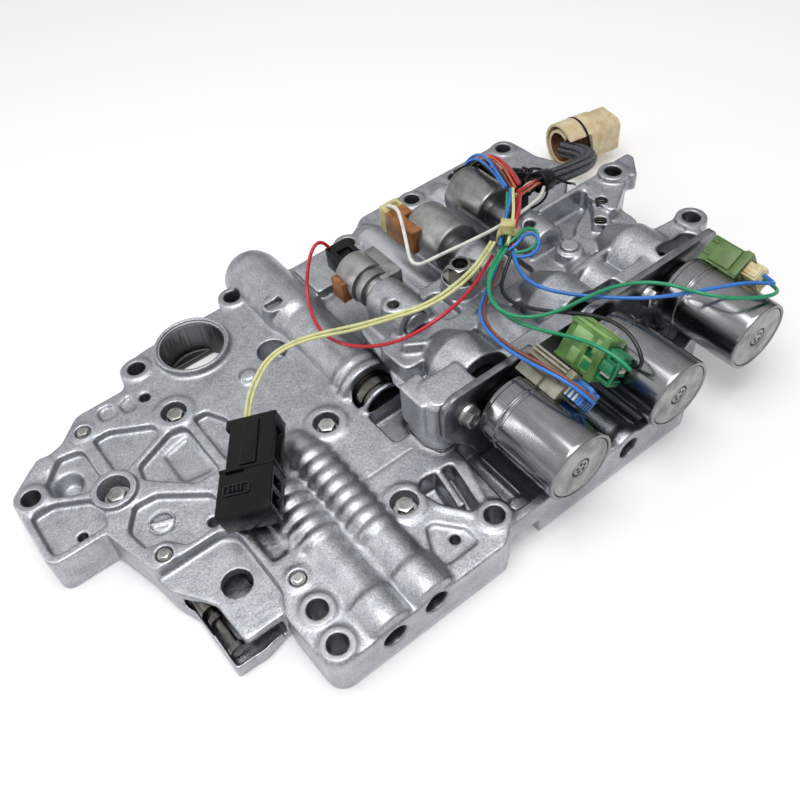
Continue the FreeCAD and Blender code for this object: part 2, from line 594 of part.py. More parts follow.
def upper_cuts():
    cuts = []
    for x, y in ear_places:
        cuts.append(post(x, y, upper_top - ear_depth - 1, upper_top + 1, mount_hole_r))
    for x in solenoid_xs:
        cuts.append(rod(x, solenoid_z, flange_plane - 1, flange_plane + sleeve_depth, sleeve_r + fit_gap))
        cuts.append(rod(x, solenoid_z, flange_plane - 1, flange_plane + 1.6, collar_r + 0.4))
    for x in shift_xs:
        cuts.append(rod(x, shift_z, upper_back - nose_depth, upper_back + 10, nose_r + fit_gap))
    for x, y in (boss_hole_place, tapped_place):
        cuts.append(post(x, y, upper_top - tap_depth, upper_top + 8, tapped_r))
    for x, y in pair_holes:
        cuts.append(post(x, y, upper_deck + 5 - tap_depth, upper_top + 8, pair_hole_r))
    cuts.append(post(*flange_bolt_place, upper_base - 1, upper_top + 3, bolt_shank_r + gap))
    cuts.append(post(*flange_bolt_place, flange_bolt_seat, upper_top + 5, 9.4))
    # Holes for the clamp bolts, and room for the domed bore of the lower casting
    for x, z in clamp_bolt_places:
        cuts.append(rod(x, z, flange_plane - 1, flange_plane + clamp_bolt_grip + 1, clamp_bolt_r + gap))
    cuts.append(dome_room())
    # Open pockets in the front wall and the end block
    cuts.append(pocket([(105, 43.5, 1), (123, 43.5, 1), (123, 50.5, 1), (105, 50.5, 1)], upper_top + 8,
                       solenoid_z + 2))
    cuts.append(pocket([(214, 43.5, 1), (239.5, 43.5, 1), (236, 50, 4), (216, 49, 3)], upper_top + 8,
                       solenoid_z + 2))
    cuts.append(pocket([(160, 43.5, 1), (190, 43.5, 1), (190, 50, 2), (160, 50, 2)], upper_top + 8,
                       solenoid_z + 2))
    cuts.append(block(89.5, 97.5, 57.4, 63, upper_top - 7, upper_top + 1))
    # Shallow pockets of the deck
    cuts.append(pocket([(124, 86, 3), (133, 86, 3), (133, 104, 4), (124, 104, 3)], upper_deck + 9,
                       upper_deck - 4))
    cuts.append(pocket([(153, 84, 3), (176, 84, 3), (176, 106, 3), (156, 106, 3)], upper_deck + 9,
                       upper_deck - 4))
    cuts.append(pocket([(203, 86, 3), (212, 94, 3), (228, 102, 3), (228, 106, 2), (203, 106, 3)],
                       upper_deck + 9, upper_deck - 4))
    return cuts


def upper_casting():
    base, pieces = upper_bodies()
    body = base.multiFuse(pieces)
    # Nothing of the round ridges shows below the base or in front of the flange
    body = body.cut(block(0, 400, -100, 400, -50, upper_base))
    body = body.cut(block(0, 400, -100, flange_plane, -50, 200))
    return cut_all(body, upper_cuts())


# A flat plate that stands across Y. Each corner is (x, z, radius).
def plate(corners, front, back):
    shape = prism(outline(corners), 0, back - front)
    shape.rotate(Vec(0, 0, 0), Vec(1, 0, 0), 90)
    shape.translate(Vec(0, back, 0))
    return shape


# A hexagonal head with its axis along Z, centred on the origin.
def hex_head(across, low, high):
    reach = across / math.sqrt(3)
    turns = [math.radians(60 * i) for i in range(7)]
    points = [Vec(reach * math.cos(turn), reach * math.sin(turn), low) for turn in turns]
    return Part.Face(Part.makePolygon(points)).extrude(Vec(0, 0, high - low))


# The upright fasteners: a washer face, a hexagonal head and a shank.
def flanged_bolt(x, y, seat, end, across, flange_r, head_high):
    bolt = hex_head(across, 1.4, head_high)
    bolt = bolt.fuse(post(0, 0, 0, 1.6, flange_r))
    bolt = bolt.cut(post(0, 0, head_high - 1.0, head_high + 1, across * 0.38))
    bolt = bolt.fuse(post(0, 0, end - seat, 0, bolt_shank_r))
    bolt.translate(Vec(x, y, seat))
    return bolt


def separator_plate():
    plate_body = prism(outline(upper_outline), boss_top, upper_base)
    plate_body = plate_body.cut(dome_room())
    plate_body = plate_body.cut(post(*flange_bolt_place, boss_top - 1, upper_base + 1, bolt_shank_r + gap))
    return plate_body


def casting_bolts():
    bolts = []
    for x, y in screw_places:
        seat = boss_top - screw_sink
        bolt = post(x, y, seat, boss_top - 1.6, screw_head_r)
        bolt = bolt.cut(post(x, y, boss_top - 3.6, boss_top, screw_head_r * 0.52))
        bolts.append(bolt.fuse(post(x, y, seat - screw_grip + 0.5, seat, screw_r)))
    for x, y in flush_places:
        seat = boss_top - 1.7
        bolt = post(x, y, seat, boss_top - 0.6, flush_r)
        bolts.append(bolt.fuse(post(x, y, seat - flush_grip + 0.5, seat, screw_r)))
    x, y = ringed_boss
    seat = boss_top - screw_sink
    bolts.append(flanged_bolt(x, y, seat, seat - screw_grip + 0.5, 8.0, 5.6, 5.0))
    return Part.makeCompound(bolts)


def clamp_plate_left():
    x = solenoid_xs[0]
    corners = [(83, 55, 8), (133, 55, 3), (133, 28, 6), (126, 17, 8), (111, 12.5, 6), (108, 8, 3),
               (101.5, 8, 3), (97, 18, 6), (87, 29, 5), (83, 33, 4)]
    body = plate(corners, flange_plane - clamp_thick, flange_plane)
    body = body.cut(rod(x, solenoid_z, 0, 60, sleeve_r + gap))
    bx, bz = clamp_bolt_places[0]
    return body.cut(rod(bx, bz, 0, 60, clamp_bolt_r + gap))


def clamp_plate_right():
    corners = [(163, 54, 4), (245, 54, 4), (245, 36, 4), (238, 30, 4), (231, 20, 5), (226, 8, 4), (216, 8, 4),
               (211, 22, 8), (204, 27, 8), (193, 30, 3), (186, 21, 5), (163, 21, 3)]
    body = plate(corners, flange_plane - clamp_thick, flange_plane)
    for x in solenoid_xs[1:]:
        body = body.cut(rod(x, solenoid_z, 0, 60, sleeve_r + gap))
    # The notch that lets the plate slide over the middle nose
    x = solenoid_xs[1]
    body = body.cut(block(x - 10, x, 0, 60, solenoid_z - sleeve_r - gap, solenoid_z + sleeve_r + gap))
    bx, bz = clamp_bolt_places[1]
    return body.cut(rod(bx, bz, 0, 60, clamp_bolt_r + gap))


def clamp_bolts():
    bolts = []
    for x, z in clamp_bolt_places:
        bolt = hex_head(8.0, 1.2, 4.6)
        bolt = bolt.fuse(post(0, 0, 0, 1.4, 5.4))
        bolt = bolt.fuse(post(0, 0, -clamp_thick - clamp_bolt_grip, 0, clamp_bolt_r))
        bolt.rotate(Vec(0, 0, 0), Vec(1, 0, 0), 90)
        bolt.translate(Vec(x, flange_plane - clamp_thick, z))
        bolts.append(bolt)
    return Part.makeCompound(bolts)


# Inner pieces of the valve bores
def spool_valve(x, z, face):
    back = face + bore_depth - 0.2
    front = back - valve_length
    land_r = bore_r - fit_gap
    waist_r = 3.0
    return turned(x, z, [(front, land_r), (front + 12, land_r), (front + 12, waist_r), (front + 26, waist_r),
                         (front + 26, land_r), (back, land_r)])


def coil_sleeve(x, z, front, back, outer_r, wire):
    return rod(x, z, front, back, outer_r).cut(rod(x, z, front - 1, back + 1, outer_r - wire))


def spool_spring(x, z, face):
    front = face + plug_depth + plug_length + gap
    back = face + bore_depth - 0.2 - valve_length - gap
    return coil_sleeve(x, z, front, back, bore_r - 0.6, spring_wire)


def bore_plugs():
    plugs = []
    for x, z, face in bore_places:
        front = face + plug_depth
        plugs.append(rod(x, z, front, front + plug_length, bore_r - fit_gap))
    return Part.makeCompound(plugs)


def retainer_keys():
    keys = []
    for x, z, face in bore_places:
        start = face + plug_depth - key_thick
        key = block(x - key_half, x + key_half, start, start + key_thick - 2 * gap, 0.6, z + key_half)
        key = key.cut(rod(x, z, start - 1, start + 5, key_slit_half))
        keys.append(key.cut(block(x - key_slit_half, x + key_slit_half, start - 1, start + 5, -1, z)))
    x, y = key_place
    half = key_wide / 2
    keys.append(block(x - half, x + half, y - dome_key_half, y + dome_key_half, key_floor + gap,
                      key_boss_top - 1.2))
    return Part.makeCompound(keys)


piston_front = window_front + 1.5
cover_back = key_place[1] - dome_key_half - gap
cover_thick = 7.0


def accumulator_piston():
    big = dome_bore_r - fit_gap
    back = piston_front + piston_length
    body = turned(dome_x, dome_z,
                  [(piston_front, big - 0.8), (piston_front + 2, big - 0.8), (piston_front + 2, big),
                   (piston_front + 6, big), (piston_front + 6, big - 1), (piston_front + 8, big - 1),
                   (piston_front + 8, big), (back, big)])
    return body.cut(rod(dome_x, dome_z, piston_front + 12, back + 1, big - 2.4))


def accumulator_spring():
    return coil_sleeve(dome_x, dome_z, piston_front + 12 + gap, cover_back - cover_thick - gap,
                       dome_bore_r - 3.0, 1.6)


def accumulator_cover():
    return rod(dome_x, dome_z, cover_back - cover_thick, cover_back, dome_bore_r - fit_gap)


def manual_valve():
    land = manual_r
    disc = land - 1.0
    body = turned(manual_x, manual_z,
                  [(28, disc), (30.5, disc), (30.5, 2), (43.5, 2), (43.5, disc), (46, disc), (46, 2),
                   (49, 2), (49, land), (62, land), (62, 2.2), (76, 2.2), (76, land), (manual_back, land)])
    return body


# Linear solenoids
def linear_can(x):
    body = turned(x, solenoid_z,
                  [(can_front + cap_depth, can_r), (groove_y - 1, can_r), (groove_y - 1, can_r - 0.5),
                   (groove_y + 1, can_r - 0.5), (groove_y + 1, can_r), (can_back, can_r)])
    return body


def linear_cap(x):
    body = rod(x, solenoid_z, can_front, can_front + cap_depth, can_r - 0.9)
    return body.cut(rod(x, solenoid_z, can_front - 1, can_front + 0.5, 4.2))


def linear_nose(x):
    back = flange_plane + sleeve_depth - 0.3
    return turned(x, solenoid_z, [(can_back, collar_r), (flange_plane - clamp_thick - gap, collar_r),
                                  (flange_plane - clamp_thick - gap, sleeve_r), (back, sleeve_r)])


# Pieces that lean about the axis of a solenoid are made upright, then turned.
def leaned(shape, x, lean):
    shape.rotate(Vec(0, 0, 0), Vec(0, 1, 0), lean)
    shape.translate(Vec(x, 0, solenoid_z))
    return shape


def linear_housing(x, lean, front, back):
    half = housing_half
    body = block(-half, half, front, back, housing_foot, housing_top)
    body = body.fuse(block(-half - 0.8, half + 0.8, front, front + 3.5, housing_foot + 1.5,
                           housing_top + 0.8))
    body = body.cut(rod(0, 0, front - 1, back + 1, can_r + 0.02))
    low = can_r + 1.2
    inside = half - housing_wall
    body = body.cut(block(-inside, inside, front - 1, front + plug_in + 0.6, low, housing_top - housing_wall))
    body = body.cut(block(-2.6, 2.6, front + 5, front + 8.5, housing_top - 3, housing_top + 1))
    body = body.cut(block(-half + 1.5, half - 1.5, back - 9, back + 1, housing_top - 1.4, housing_top + 1))
    return leaned(body, x, lean)


def linear_plug(x, lean, front):
    half = housing_half - housing_wall - 0.15
    low = can_r + 1.35
    high = housing_top - housing_wall - 0.15
    body = block(-half, half, front - plug_out, front + plug_in, low, high)
    body = body.fuse(block(-2.3, 2.3, front - plug_out + 0.8, front - 0.3, high - 1, housing_top + 0.6))
    for side in (-1, 1):
        middle = side * half * 0.6
        body = body.cut(block(middle - 1.7, middle + 1.7, front - plug_out + 1.4, front - 1.6, high - 3.2,
                              high + 3))
    return leaned(body, x, lean)


# On and off solenoids at the back of the upper casting
def shift_can(i):
    x = shift_xs[i]
    front = shift_fronts[i]
    back = shift_backs[i]
    radius = shift_can_rs[i]
    if i > 0:
        return turned(x, shift_z, [(front, radius), (back - 3, radius), (back, radius - 3)])
    # The first can has a collar on its neck and a square frame at its right
    body = turned(x, shift_z, [(boss_end + 0.5, 7.0), (front - 6, 7.0), (front - 6, 9.4), (front - 2, 9.4),
                               (front - 2, 8.0), (front, 8.0), (front, radius), (back, radius)])
    return body.fuse(block(x + 2, x + 13, boss_end + 1.5, back, shift_z - 8, shift_z + 7.2))


def shift_noses():
    noses = []
    for i, x in enumerate(shift_xs):
        front = upper_back - nose_depth + 0.3
        back = boss_end + 0.5 if i == 0 else shift_fronts[i]
        noses.append(rod(x, shift_z, front, back, nose_r))
    return Part.makeCompound(noses)


# The moulded piece that carries the contacts out of each can. Each block is
# (left, right, front, back, low, high) from the can's axis and back end.
terminal_blocks = [(-12.5, -4.0, -9.0, -0.1, -8.0, 3.0), (-15.5, -4.0, -14.0, 8.0, -4.0, 9.0),
                   (3.0, 14.5, -20.0, 0.0, -6.0, 7.0)]


def shift_terminal(i):
    x = shift_xs[i]
    back = shift_backs[i]
    left, right, near, far, low, high = terminal_blocks[i]
    body = block(x + left, x + right, back + near, back + far, shift_z + low, shift_z + high)
    return body.cut(rod(x, shift_z, 100, back, shift_can_rs[i] + 0.02))


def shift_connector(i):
    x = shift_xs[i]
    back = shift_backs[i]
    if i == 0:
        body = block(x - 5.5, x + 6.5, back + 0.1, back + 14, shift_z - 4, shift_z + 7.5)
        return body.cut(block(x - 3, x + 4, back + 3, back + 8, shift_z + 5.5, shift_z + 12))
    if i == 1:
        body = block(x - 14, x - 3.5, back + 8.1, back + 15, shift_z - 6, shift_z + 8.5)
        return body.cut(block(x - 8, x - 5, back + 9, back + 13, shift_z + 6, shift_z + 12))
    body = block(x + 14.6, x + 26, back - 24, back + 12, shift_z - 12, shift_z + 1)
    body = body.fuse(block(x + 3, x + 15, back + 0.1, back + 9, shift_z - 8, shift_z + 4))
    body = body.cut(block(x + 17, x + 22, back - 21, back - 8, shift_z - 2, shift_z + 12))
    return body.cut(block(x + 21, x + 34, back - 4, back + 6, shift_z - 3, shift_z + 12))


# A foot on the back of the upper casting and a strap round the third can.
def shift_bracket():
    x = shift_xs[2]
    inner = shift_can_rs[2] + 0.05
    outer = inner + bracket_thick
    left = x - outer
    front = shift_fronts[2] + 4
    back = front + 8
    strap = rod(x, shift_z, front, back, outer).cut(rod(x, shift_z, front - 1, back + 1, inner))
    strap = strap.cut(block(x, x + outer, front - 1, back + 1, shift_z - outer, shift_z + outer))
    strap = strap.cut(block(left, x, front - 1, back + 1, shift_z, shift_z + outer))
    arm = block(left, left + bracket_thick, upper_back, back, shift_z - 3, shift_z + 4)
    foot = block(left - 4, left + bracket_thick, upper_back, upper_back + bracket_thick, shift_z - 7,
                 shift_z + 7)
    return strap.fuse(arm).fuse(foot)


# Connector of the case. It is made along Y, then turned into place.
def case_placed(shape):
    shape.rotate(Vec(0, 0, 0), Vec(0, 0, 1), case_turn)
    shape.translate(Vec(*case_place))
    return shape


def case_connector():
    body = turned(0, 0, [(0, case_r), (11, case_r), (11, case_r - 1.3), (12.6, case_r - 1.3), (12.6, case_r),
                         (22, case_r), (22, case_r - 0.9), (case_length, case_r - 0.9)])
    body = body.cut(rod(0, 0, -1, case_bore_depth, case_bore_r))
    groove = rod(0, 0, -1, 3, case_r - 1.5).cut(rod(0, 0, -2, 4, case_bore_r + 1.6))
    body = body.cut(groove)
    # Flats of the far end, and the side notch that the sleeve leaves through
    body = body.cut(block(-20, 20, 22, 40, case_r - 3.2, 20)).cut(block(case_r - 3.4, 20, 22, 40, -20, 20))
    body = body.cut(block(5, 20, -1, 14, -7, 9))
    return case_placed(body.removeSplitter())


def case_seal():
    ring = rod(0, 0, 11.2, 12.4, case_r + 0.2).cut(rod(0, 0, 10, 14, case_r - 1.25))
    return case_placed(ring)


def case_insert():
    return case_placed(rod(0, 0, case_bore_depth - insert_thick, case_bore_depth - 0.05, case_bore_r - 0.05))


# Plug with two ways. It is made along Y, rolled on its edge and turned.
def two_way_placed(shape):
    shape.rotate(Vec(0, 0, 0), Vec(0, 1, 0), two_way_roll)
    shape.rotate(Vec(0, 0, 0), Vec(0, 0, 1), two_way_turn)
    shape.translate(Vec(*two_way_place))
    return shape


def two_way_connector():
    body = block(-12, 12, 0, 23, -6.5, 6)
    body = body.fuse(block(-10, 11, 22, two_way_length, -5.5, 5.2))
    body = body.fuse(block(-12.2, 11, two_way_length - 5, two_way_length, -5.5, 5.2))
    body = body.cut(block(8.8, 13, 3, 9, -3, 4)).cut(block(8.8, 13, 12, 17, -3, 4))
    body = body.cut(block(9.2, 13, 26, 43, -3, 3.6))
    body = body.cut(block(-9, -1, 20, 24, 5.2, 7))
    body = body.cut(block(-3, 3, two_way_length - 4, two_way_length + 1, -2.6, 2.4))
    return two_way_placed(body)


# A round thing that follows a route: straight runs joined by tangent arcs.
# Its section has as many sides as asked for.
def tube(name, points, radius, sides=6):
    spots = [Vec(*point) for point in points]
    first = (spots[1] - spots[0]).normalize()
    across = first.cross(Vec(0, 0, 1)).normalize()
    upward = across.cross(first)
    ring = []
    for i in range(sides + 1):
        angle = 2 * math.pi * i / sides
        ring.append(spots[0] + across * (radius * math.cos(angle)) + upward * (radius * math.sin(angle)))
    section = Part.Face(Part.makePolygon(ring))
    area = section.Area
    pieces = []
    bends = []
    length = 0.0
    here = spots[0]
    for i in range(1, len(spots) - 1):
        to_last = spots[i - 1] - spots[i]
        to_next = spots[i + 1] - spots[i]
        reach = 0.45 * min(to_last.Length, to_next.Length)
        to_last.normalize()
        to_next.normalize()
        turn = math.pi - to_last.getAngle(to_next)
        bend = reach / math.tan(turn / 2)
        centre = spots[i] + (to_last + to_next).normalize() * (bend / math.cos(turn / 2))
        axis = to_next.cross(to_last).normalize()
        step = spots[i] + to_last * reach - here
        pieces.append(section.extrude(step))
        section.translate(step)
        pieces.append(section.revolve(centre, axis, math.degrees(turn)))
        section.rotate(centre, axis, math.degrees(turn))
        length += step.Length + bend * turn
        bends.append(round(bend, 1))
        here = spots[i] + to_next * reach
    pieces.append(section.extrude(spots[-1] - here))
    length += (spots[-1] - here).Length
    body = pieces[0].multiFuse(pieces[1:])
    print(name, "radii", bends, "length", round(length, 1))
    print(name, "volume over section and length", round(body.Volume / area / length, 4))
    return body


def cable_tie():
    place = Vec(*trunk_route[1])
    along = Vec(*trunk_route[2]) - Vec(*trunk_route[0])
    along.normalize()
    ring = Part.makeCylinder(trunk_r + 1.2, 4.4, place - along * 2.2, along)
    ring = ring.cut(Part.makeCylinder(trunk_r + 0.1, 6, place - along * 3, along))
    head = block(-3.2, 3.2, -2.6, 2.6, trunk_r + 0.9, trunk_r + 4.6)
    head.rotate(Vec(0, 0, 0), Vec(0, 0, 1), math.degrees(math.atan2(along.y, along.x)) + 90)
    head.translate(place)
    return ring.fuse(head)


def tape_joint():
    start = Vec(*sleeve_route[-1])
    along = start - Vec(*sleeve_route[-2])
    along.normalize()
    return Part.makeCylinder(sleeve_cover_r + 0.6, tape_length, start + along * 0.05, along)


save("lower_casting", lower_casting())
save("separator_plate", separator_plate())
save("upper_casting", upper_casting())
save("casting_bolts", casting_bolts())
save("flange_bolt", flanged_bolt(*flange_bolt_place, flange_bolt_seat, flange_bolt_end, 10.0, 8.4, 7.0))
save("clamp_plate_left", clamp_plate_left())
save("clamp_plate_right", clamp_plate_right())
save("clamp_bolts", clamp_bolts())
save("retainer_keys", retainer_keys())
save("bore_plugs", bore_plugs())
for i, bore in enumerate(bore_places):
    save("spool_valve_" + str(i + 1), spool_valve(*bore))
    save("spool_spring_" + str(i + 1), spool_spring(*bore))
save("accumulator_piston", accumulator_piston())
save("accumulator_spring", accumulator_spring())
save("accumulator_cover", accumulator_cover())
save("manual_valve", manual_valve())
for i, x in enumerate(solenoid_xs):
    number = str(i + 1)
    save("linear_can_" + number, linear_can(x))
    save("linear_housing_" + number, linear_housing(x, housing_leans[i], housing_fronts[i], housing_backs[i]))
    save("linear_plug_" + number, linear_plug(x, housing_leans[i], housing_fronts[i]))
save("linear_caps", Part.makeCompound([linear_cap(x) for x in solenoid_xs]))
save("linear_noses", Part.makeCompound([linear_nose(x) for x in solenoid_xs]))
for i in range(len(shift_xs)):
    number = str(i + 1)
    save("shift_can_" + number, shift_can(i))
    save("shift_terminal_" + number, shift_terminal(i))
    save("shift_connector_" + number, shift_connector(i))
save("shift_noses", shift_noses())
save("shift_bracket", shift_bracket())
save("case_connector", case_connector())
save("case_seal", case_seal())
save("case_insert", case_insert())
save("two_way_connector", two_way_connector())
save("cable_tie", cable_tie())
save("tape_joint", tape_joint())
save("wire_trunk", tube("wire_trunk", trunk_route, trunk_r, 8))
save("braided_sleeve", tube("braided_sleeve", sleeve_route, sleeve_cover_r, 8))
save("yellow_wires", tube("yellow_wires", yellow_route, pair_r))
save("red_wire", tube("red_wire", red_route, wire_r))
save("white_wire", tube("white_wire", white_route, wire_r))
save("blue_wire_3", tube("blue_wire_3", blue_route_3, wire_r))
save("green_wire_3", tube("green_wire_3", green_route_3, wire_r))
save("green_wire_2", tube("green_wire_2", green_route_2, wire_r))
save("black_wire_2", tube("black_wire_2", black_route_2, wire_r))
save("pair_wires_1", tube("pair_wires_1", pair_route_1, pair_r))
save("branch_wires", tube("branch_wires", branch_route, branch_r))
save("feeder_wires", tube("feeder_wires", feeder_route, pair_r))
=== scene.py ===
import json
import math
import bmesh
import bpy
import numpy as np
from mathutils import Matrix, Vector


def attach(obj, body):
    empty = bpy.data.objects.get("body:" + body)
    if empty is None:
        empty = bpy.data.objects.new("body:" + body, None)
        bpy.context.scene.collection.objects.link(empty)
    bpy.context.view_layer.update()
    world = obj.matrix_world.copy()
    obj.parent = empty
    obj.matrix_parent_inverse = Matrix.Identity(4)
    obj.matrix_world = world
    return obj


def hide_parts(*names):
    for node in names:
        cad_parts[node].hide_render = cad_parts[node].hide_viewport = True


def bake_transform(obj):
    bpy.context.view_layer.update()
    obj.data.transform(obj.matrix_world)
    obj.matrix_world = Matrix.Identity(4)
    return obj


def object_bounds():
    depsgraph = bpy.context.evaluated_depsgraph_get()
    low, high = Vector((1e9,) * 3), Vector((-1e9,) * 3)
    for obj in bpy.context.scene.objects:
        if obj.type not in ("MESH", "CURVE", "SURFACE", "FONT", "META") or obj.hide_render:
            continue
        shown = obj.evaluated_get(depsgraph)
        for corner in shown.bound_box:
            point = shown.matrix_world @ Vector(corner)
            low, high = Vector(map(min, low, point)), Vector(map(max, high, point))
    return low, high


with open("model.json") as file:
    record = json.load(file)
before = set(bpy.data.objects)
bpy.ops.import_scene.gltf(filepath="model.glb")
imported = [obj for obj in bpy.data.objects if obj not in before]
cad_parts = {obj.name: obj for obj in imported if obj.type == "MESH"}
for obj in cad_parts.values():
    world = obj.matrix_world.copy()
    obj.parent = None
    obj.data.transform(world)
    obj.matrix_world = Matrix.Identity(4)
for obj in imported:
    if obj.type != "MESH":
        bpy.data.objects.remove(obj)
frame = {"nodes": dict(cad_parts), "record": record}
cadLow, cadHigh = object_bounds()
mm = 0.001
print("frame loaded", len(frame["nodes"]), "nodes")

nodeBody = {}
for bodyName, nodeNames in frame["record"]["behaviour"]["bodies"].items():
    for nodeName in nodeNames:
        nodeBody[nodeName] = bodyName


# Materials

def linearColor(hexText):
    values = []
    for i in (1, 3, 5):
        c = int(hexText[i:i + 2], 16) / 255
        values.append(c / 12.92 if c <= 0.04045 else ((c + 0.055) / 1.055) ** 2.4)
    return (*values, 1.0)


# Adds one node. A key of settings is a property of the node, or the name or
# number of an input, and "stops" holds a ramp's (position, colour) pairs.
# links joins inputs to outputs, or to the first output of a node.
def addNode(tree, kind, settings=None, links=None):
    node = tree.nodes.new(kind)
    for key, value in (settings or {}).items():
        if key == "stops":
            for element, (position, color) in zip(node.color_ramp.elements, value):
                element.position = position
                element.color = color
        elif isinstance(key, str) and hasattr(node, key):
            setattr(node, key, value)
        else:
            node.inputs[key].default_value = value
    for key, output in (links or {}).items():
        socket = output.outputs[0] if hasattr(output, "outputs") else output
        tree.links.new(socket, node.inputs[key])
    return node


def newMaterial(name):
    material = bpy.data.materials.new(name)
    material.use_nodes = True
    tree = material.node_tree
    return material, tree, tree.nodes["Principled BSDF"]


castLook = {
    "skin": "#b8bbc0",      # light neutral grey of blasted aluminium
    "skinDark": "#a4a7ad",  # cooler patches where the mould was worn
    "noises": {"grain": (0.7, 3.0, 0.7), "mottle": (8.0, 5.0, 0.6), "wave": (2.4, 2.0, 0.5)},
    "speck": (0.32, 0.7, 0.62, 1.3), "rough": (0.3, 0.7, 0.28, 0.44), "milledRough": 0.38,
    "swell": (0.4, 0.3), "pits": (1.0, 0.14),
    "layers": [
        ("machined", 0.0, 1.0, 1.0, "#9fa1a4"),  # flatter grey of a milled face
        ("cavity", 0.1, 0.9, 0.6, "#66696f"),    # painted shade, with oil, in the corners
        ("edge", 0.03, 0.2, 0.45, "#d2d5da"),    # pale painted highlight along an edge, with some rubbing from tumbling
        ("bore", 0.0, 1.0, 1.0, "#2e2d2d"),      # painted shade, with oil, on the wall of a deep hole
    ],
}


# A map range's settings, in the order that the dictionaries give their spans.
spanKeys = ("From Min", "From Max", "To Min", "To Max")


# Aluminium die cast: a satin skin with visible grain, painted shade with oil in
# the corners and down deep holes, and a pale painted highlight with some
# rubbing along the edges. A noise is (size in mm, detail, roughness), a bump is
# (strength, depth in mm), and speck and rough are spans of the grain. A layer
# covers those before it by a point attribute, as (its name, the value where it
# begins, the value where it is full, the most it covers, colour).
def dieCastAluminium():
    material, tree, shader = newMaterial("dieCastAluminium")
    place = addNode(tree, "ShaderNodeTexCoord").outputs["Object"]
    noise = {}
    for label, (sizeMm, detail, roughness) in castLook["noises"].items():
        settings = {"Scale": 1 / (sizeMm * mm), "Detail": detail, "Roughness": roughness}
        noise[label] = addNode(tree, "ShaderNodeTexNoise", settings, {"Vector": place})
    tones = [(0.36, linearColor(castLook["skinDark"])), (0.62, linearColor(castLook["skin"]))]
    skin = addNode(tree, "ShaderNodeValToRGB", {"stops": tones}, {"Fac": noise["mottle"]})
    speck = addNode(tree, "ShaderNodeMapRange", dict(zip(spanKeys, castLook["speck"])),
                    {"Value": noise["grain"]})
    color = addNode(tree, "ShaderNodeMix", {"data_type": "RGBA", "blend_type": "MULTIPLY", 0: 1.0},
                    {6: skin, 7: speck})
    shares = {}
    for label, start, full, most, tone in castLook["layers"]:
        shares[label] = addNode(tree, "ShaderNodeAttribute", {"attribute_name": label}).outputs["Fac"]
        cover = addNode(tree, "ShaderNodeMapRange", {"From Min": start, "From Max": full, "To Max": most},
                        {"Value": shares[label]})
        color = addNode(tree, "ShaderNodeMix", {"data_type": "RGBA", 7: linearColor(tone)},
                        {0: cover, 6: color.outputs[2]})
    tree.links.new(color.outputs[2], shader.inputs["Base Color"])
    shader.inputs["Metallic"].default_value = 1.0
    rough = addNode(tree, "ShaderNodeMapRange", dict(zip(spanKeys, castLook["rough"])),
                    {"Value": noise["grain"]})
    sheen = addNode(tree, "ShaderNodeMix", {"data_type": "FLOAT", 3: castLook["milledRough"]},
                    {0: shares["machined"], 2: rough})
    tree.links.new(sheen.outputs[0], shader.inputs["Roughness"])
    strength, deepMm = castLook["swell"]
    swell = addNode(tree, "ShaderNodeBump", {"Strength": strength, "Distance": deepMm * mm},
                    {"Height": noise["wave"]})
    strength, deepMm = castLook["pits"]
    pits = addNode(tree, "ShaderNodeBump", {"Strength": strength, "Distance": deepMm * mm},
                   {"Height": noise["grain"], "Normal": swell})
    tree.links.new(pits.outputs[0], shader.inputs["Normal"])
    return material


# What all the other finishes share: a colour that drifts over broad stains, a
# roughness that drifts with the stains or with the grain, and a fine bump of
# the grain. stain and grain are (size in mm, detail), tint and gloss spans of
# the noise, and bump is (strength, depth in mm).
def stainedFinish(name, look):
    material, tree, shader = newMaterial(name)
    place = addNode(tree, "ShaderNodeTexCoord").outputs["Object"]
    along = addNode(tree, "ShaderNodeMapping", {"Scale": look.get("stretch", (1, 1, 1))}, {"Vector": place})
    noise = {}
    for label, vector in (("stain", place), ("grain", along)):
        sizeMm, detail = look[label]
        noise[label] = addNode(tree, "ShaderNodeTexNoise", {"Scale": 1 / (sizeMm * mm), "Detail": detail},
                               {"Vector": vector})
    color = addNode(tree, "ShaderNodeValToRGB", {"stops": look["stops"]}, {"Fac": noise["stain"]}).outputs[0]
    if "tint" in look:
        tint = addNode(tree, "ShaderNodeMapRange", dict(zip(spanKeys, look["tint"])),
                       {"Value": noise["grain"]})
        color = addNode(tree, "ShaderNodeMix", {"data_type": "RGBA", "blend_type": "MULTIPLY", 0: 1.0},
                        {6: color, 7: tint}).outputs[2]
    tree.links.new(color, shader.inputs["Base Color"])
    gloss = addNode(tree, "ShaderNodeMapRange", dict(zip(spanKeys, look["gloss"])),
                    {"Value": noise[look["glossBy"]]})
    tree.links.new(gloss.outputs[0], shader.inputs["Roughness"])
    strength, deepMm = look["bump"]
    bump = addNode(tree, "ShaderNodeBump", {"Strength": strength, "Distance": deepMm * mm},
                   {"Height": noise["grain"]})
    tree.links.new(bump.outputs[0], shader.inputs["Normal"])
    for key, value in look["shader"].items():
        shader.inputs[key].default_value = value
    return material


